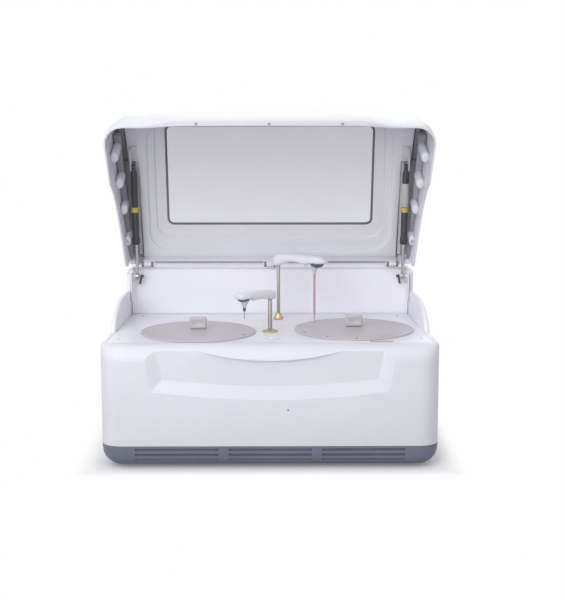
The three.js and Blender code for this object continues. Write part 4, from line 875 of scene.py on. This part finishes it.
def soften_step(liner, foot, head, width):
    """Rounds the two edges of one step of the liner widely, on the side that shows."""
    slack = 0.0002
    step_side = 0.304
    step_rear, step_front = 0.016, 0.350
    alone(liner)
    to_lid = Matrix.Rotation(-open_angle, 3, "X")
    bpy.ops.object.mode_set(mode="EDIT")
    bpy.ops.mesh.select_mode(type="EDGE")
    bpy.ops.mesh.select_all(action="DESELECT")
    mesh = bmesh.from_edit_mesh(liner.data)
    for edge in mesh.edges:
        ends = [to_lid @ (vert.co - hinge_line) for vert in edge.verts]
        level = abs(ends[0].z - ends[1].z) < slack
        at_step = min(abs(ends[0].z - foot), abs(ends[0].z - head)) < slack
        inside = all(abs(end.x) < step_side and step_rear < -end.y < step_front for end in ends)
        sharp = len(edge.link_faces) == 2 and edge.calc_face_angle() > math.radians(60)
        edge.select_set(level and at_step and inside and sharp)
    bmesh.update_edit_mesh(liner.data)
    bpy.ops.mesh.bevel(offset=width, segments=5, clamp_overlap=False)
    bpy.ops.object.mode_set(mode="OBJECT")


liner = welded_copy("lid_liner", "lid_liner_moulding")
in_window = in_lid(0, 0.16, 0)
whole_faces(liner, in_window, lid_forward)
soften_step(liner, foot=0.027, head=0.037, width=0.0042)
soften_step(liner, foot=0.037, head=0.042, width=0.0022)
stands_for(liner, "lid_liner", liner_grey, rim=0.0005)


def lid_strip(name, sides, forwards, heights, finish):
    """A flat piece in the lid, from one height to another, and from its rear end forward to its front end.
    Sides gives where its inner and outer edge lie at the rear, and then at the front."""
    strip = block((0, 0, 0), (1, 1, 1))
    (rear_inner, rear_outer), (front_inner, front_outer) = sides
    for vert in strip.data.vertices:
        inner, outer = (rear_inner, rear_outer) if vert.co.y > 0 else (front_inner, front_outer)
        forward = forwards[0] if vert.co.y > 0 else forwards[1]
        height = heights[0] if vert.co.z < 0 else heights[1]
        vert.co = in_lid(inner if vert.co.x < 0 else outer, forward, height)
    if rear_outer < 0:
        bpy.ops.object.mode_set(mode="EDIT")
        bpy.ops.mesh.select_all(action="SELECT")
        bpy.ops.mesh.flip_normals()
        bpy.ops.object.mode_set(mode="OBJECT")
    round_edges(strip, width=0.0006)
    in_place(strip, name, finish, "lid")


# The liner's rear skirt, which lies on the lid's rear wall, and the seal under it between the hinges
skirt = (-0.3155, 0.3155)
lid_strip(
    "liner_rear_skirt", (skirt, skirt),
    forwards=(0.0023, 0.0089), heights=(0.0015, 0.0292), finish=liner_grey,
)
seal_rubber = moulded_plastic("seal_rubber", (0.36, 0.36, 0.38), 0.7, mottle=0.15, grain=600)
for word, seal in (("left", (-0.288, -0.018)), ("right", (0.018, 0.288))):
    lid_strip(
        f"lid_seal_{word}", (seal, seal),
        forwards=(0.0042, 0.0072), heights=(-0.0008, 0.0025), finish=seal_rubber,
    )

# Dark strips of painted shade fill the channel between the liner's edge and the shell's side wall, and line
# the wall's foot.
# The liner's side flange stands along the channel, and a gusset stiffens the shell's rear corner.
channel_shade_finish = moulded_plastic(
    "channel_painted_shade", (0.36, 0.365, 0.39), 0.9, mottle=0.12, dust_and_corner_shade=0.2, rubbing_and_edge_highlight=0, grain=260, depth=0.0003,
)
channel_run = (0.012, 0.261)
for word, side in (("left", -1), ("right", 1)):
    for part, sides, forwards, heights in (
        ("rear", ((0.3275, 0.3440), (0.3275, 0.3600)), channel_run, (0.034, 0.042)),
        ("front", ((0.3490, 0.3610), (0.3535, 0.3680)), (0.264, 0.356), (0.034, 0.042)),
        ("wall", ((0.3420, 0.3492), (0.3590, 0.3765)), (0.014, 0.335), (0.002, 0.034)),
    ):
        mirrored = tuple(tuple(side * x for x in pair) for pair in sides)
        lid_strip(f"channel_painted_shade_{part}_{word}", mirrored, forwards, heights, channel_shade_finish)
    flange = (side * 0.3195, side * 0.3278)
    lid_strip(
        f"liner_side_flange_{word}", (flange, flange),
        forwards=channel_run, heights=(0.0335, 0.042), finish=liner_grey,
    )
    gusset = ((side * 0.3362, side * 0.3490), (side * 0.3362, side * 0.3500))
    lid_strip(
        f"lid_corner_gusset_{word}", gusset,
        forwards=(0.004, 0.014), heights=(-0.010, 0.012), finish=white,
    )

gasket_rubber = moulded_plastic("gasket_rubber", (0.165, 0.160, 0.180), 0.7, mottle=0.15, grain=600)
with_soft_rims("lid_gasket", "lid_gasket_rubber", gasket_rubber, rim=0.0010)


def tinted_glass_shaded_to_front():
    """Tinted window glass with a trace of haze, painted darker towards its front edge as shade."""
    window_foot, window_head = 0.50, 0.76
    finish, tree, glass, place = new_finish("tinted_window_shaded_to_front")
    height = tree.nodes.new("ShaderNodeSeparateXYZ")
    tree.links.new(place, height.inputs[0])
    haze = noise_of(tree, place, scale=14, detail=5)
    # The tint deepens towards the front edge: painted shade, where the lid's front edge shadows the glass
    up = between(tree, height.outputs["Z"], window_foot, window_head)
    tint = blend_of(tree, up, (0.72, 0.72, 0.79), (0.50, 0.485, 0.525))
    hazy = blend_of(tree, spread(tree, haze, 0, 0.06), tint, (0.9, 0.9, 0.92))
    tree.links.new(hazy, glass.inputs["Base Color"])
    tree.links.new(spread(tree, haze, 0.16, 0.24), glass.inputs["Roughness"])
    glass.inputs["Transmission Weight"].default_value = 1
    glass.inputs["IOR"].default_value = 1.46
    relief(tree, glass, noise_of(tree, place, scale=500, detail=2), depth=0.00002)
    return finish


window_glass = tinted_glass_shaded_to_front()
with_soft_rims("lid_window", "lid_window_pane", window_glass, rim=0.0008)


def lid_boss(name, x, forward, half_width, foot, top):
    """A boss along the lid's side wall, oval and half sunk in it, with a rounded foot."""
    half_length = 0.0128
    bpy.ops.mesh.primitive_cylinder_add(vertices=48, radius=1, depth=top - foot, location=(0, 0, 0))
    boss = bpy.context.active_object
    boss.scale = (half_width, half_length, 1)
    alone(boss)
    bpy.ops.object.transform_apply(location=True, rotation=True, scale=True)
    round_edges(boss, width=half_width * 0.7, segments=6)
    boss.rotation_euler = (open_angle, 0, 0)
    boss.location = in_lid(x, forward, (foot + top) / 2)
    in_place(boss, name, white, "lid")


# Towards the rear the bosses get shorter. A screw stands under the last one on each side.
lid_bosses = (
    (0.3680, 0.305, 0.0100, -0.075, 0.010), (0.3612, 0.232, 0.0100, -0.055, 0.015),
    (0.3550, 0.158, 0.0090, -0.035, 0.020), (0.3500, 0.074, 0.0075, -0.030, 0.020),
)
boss_screw_gap = 0.0005
for word, side in (("left", -1), ("right", 1)):
    for number, (x, forward, half_width, foot, top) in enumerate(lid_bosses):
        lid_boss(f"lid_boss_{word}_{number}", side * x, forward, half_width, foot, top)
    cap_screw(
        f"lid_boss_screw_{word}", in_lid(side * x, forward, foot - boss_screw_gap), -lid_up,
        radius=0.0036, height=0.003, finish=screw_steel, body="lid",
    )

button_rubber = moulded_plastic("button_rubber", (0.45, 0.44, 0.45), 0.6, mottle=0.1, grain=500)
button_rim = 0.0012
button_bulge = 0.0003
button_forward, button_height = 0.4055, -0.1249
for word, x in (("left", -0.170), ("middle", -0.002), ("right", 0.167)):
    bpy.ops.mesh.primitive_cylinder_add(vertices=28, radius=0.0034, depth=0.0022, location=(0, 0, 0))
    button = bpy.context.active_object
    alone(button)
    bpy.ops.object.mode_set(mode="EDIT")
    pick_faces(button, lambda face: face.normal.z < -0.9)
    bpy.ops.mesh.inset(thickness=button_rim)
    bpy.ops.transform.translate(value=(0, 0, -button_bulge))
    bpy.ops.object.mode_set(mode="OBJECT")
    round_edges(button, width=0.0006)
    button.rotation_euler = (open_angle, 0, 0)
    button.location = in_lid(x, button_forward, button_height)
    in_place(button, f"lid_button_{word}", button_rubber, "lid")


# Gas struts
# On each side a gas strut holds the lid: a black cylinder with a yellow ring round it, the right one with a
# pale label as well, and a polished rod. The rod's eye turns on a pin at the bracket on the rear post, with
# a black clip beside it.

strut_black = moulded_plastic("strut_black", (0.050, 0.050, 0.056), 0.4, mottle=0.15, dust_and_corner_shade=0.3, rubbing_and_edge_highlight=0.25)
rod_steel = worked_metal("rod_steel", (0.46, 0.46, 0.46), 0.25, (1, 1, 0.05), scale=400)
bracket_black = moulded_plastic(
    "bracket_black", (0.085, 0.075, 0.07), 0.45, mottle=0.15, dust_and_corner_shade=0.4, rubbing_and_edge_highlight=0.3,
)
stud_grey = moulded_plastic("stud_grey", (0.60, 0.60, 0.64), 0.45, mottle=0.06, dust_and_corner_shade=0.3, rubbing_and_edge_highlight=0.3)
sleeve_pale = moulded_plastic("strut_sleeve", (0.50, 0.50, 0.49), 0.5, mottle=0.06, dust_and_corner_shade=0.3)
ring_yellow = moulded_plastic("ring_yellow", (0.62, 0.50, 0.10), 0.5, mottle=0.06, dust_and_corner_shade=0.3)
post_pivot = (0.140, 0.378)


def strut_tube(name, side, start, end, radius, finish):
    """A thin tube round a strut's cylinder, between two distances from its pivot on the lid. It is hollow,
    because the rod slides up through it when the lid is shut."""
    wall_thickness = 0.0012
    head = Vector(joints[f"strut_pivot_{side}"]["pos_m"])
    foot = Vector((head.x, *post_pivot))
    along = (foot - head).normalized()
    bpy.ops.mesh.primitive_cylinder_add(
        vertices=40, radius=radius, depth=end - start, end_fill_type="NOTHING", location=(0, 0, 0),
    )
    tube = bpy.context.active_object
    alone(tube)
    wall = tube.modifiers.new("wall", "SOLIDIFY")
    wall.thickness = wall_thickness
    wall.offset = -1
    bpy.ops.object.modifier_apply(modifier="wall")
    round_edges(tube, width=0.0004)
    tube.rotation_euler = along.to_track_quat("Z", "Y").to_euler()
    tube.location = head + along * (start + end) / 2
    in_place(tube, name, finish, f"strut_cylinder_{side}")


pin_x = 0.3195
clip_x, clip_y, clip_z = 0.3235, 0.1455, 0.3680
clip_size = (0.0056, 0.0050, 0.0210)
clip_lean = math.radians(10)
clip_screw_x, clip_screw_y, clip_screw_z = 0.3380, 0.1270, 0.3640
for side, outward in (("left", -1), ("right", 1)):
    with_soft_rims(f"strut_cylinder_{side}", f"strut_cylinder_{side}_tube", strut_black, rim=0.0006)
    with_soft_rims(f"strut_rod_{side}", f"strut_rod_{side}_steel", rod_steel, rim=0.0004)
    with_soft_rims(f"strut_stud_{side}", f"strut_stud_{side}_steel", stud_grey, rim=0.0006)
    with_soft_rims(f"strut_bracket_{side}", f"strut_bracket_{side}_steel", white, rim=0.0006)
    if side == "right":
        strut_tube("strut_sleeve_right", side, start=0.0413, end=0.1002, radius=0.0085, finish=sleeve_pale)
    strut_tube(f"strut_ring_{side}", side, start=0.1015, end=0.1139, radius=0.0088, finish=ring_yellow)

    pin_middle = (outward * pin_x, *post_pivot)
    pivot_pin = cross_pin(pin_middle, radius=0.0036, length=0.0090, edge=0.0010, sides=28)
    in_place(pivot_pin, f"strut_pivot_pin_{side}", bracket_black, "cabinet")
    clip = block((outward * clip_x, clip_y, clip_z), clip_size, (0, -outward * clip_lean, 0))
    round_edges(clip, width=0.0012)
    in_place(clip, f"strut_clip_{side}", bracket_black, "cabinet")
    clip_screw_place = (outward * clip_screw_x, clip_screw_y, clip_screw_z)
    cap_screw(
        f"strut_clip_screw_{side}", clip_screw_place, (0, -1, 0),
        radius=0.0034, height=0.0024, finish=screw_steel, body="cabinet",
    )
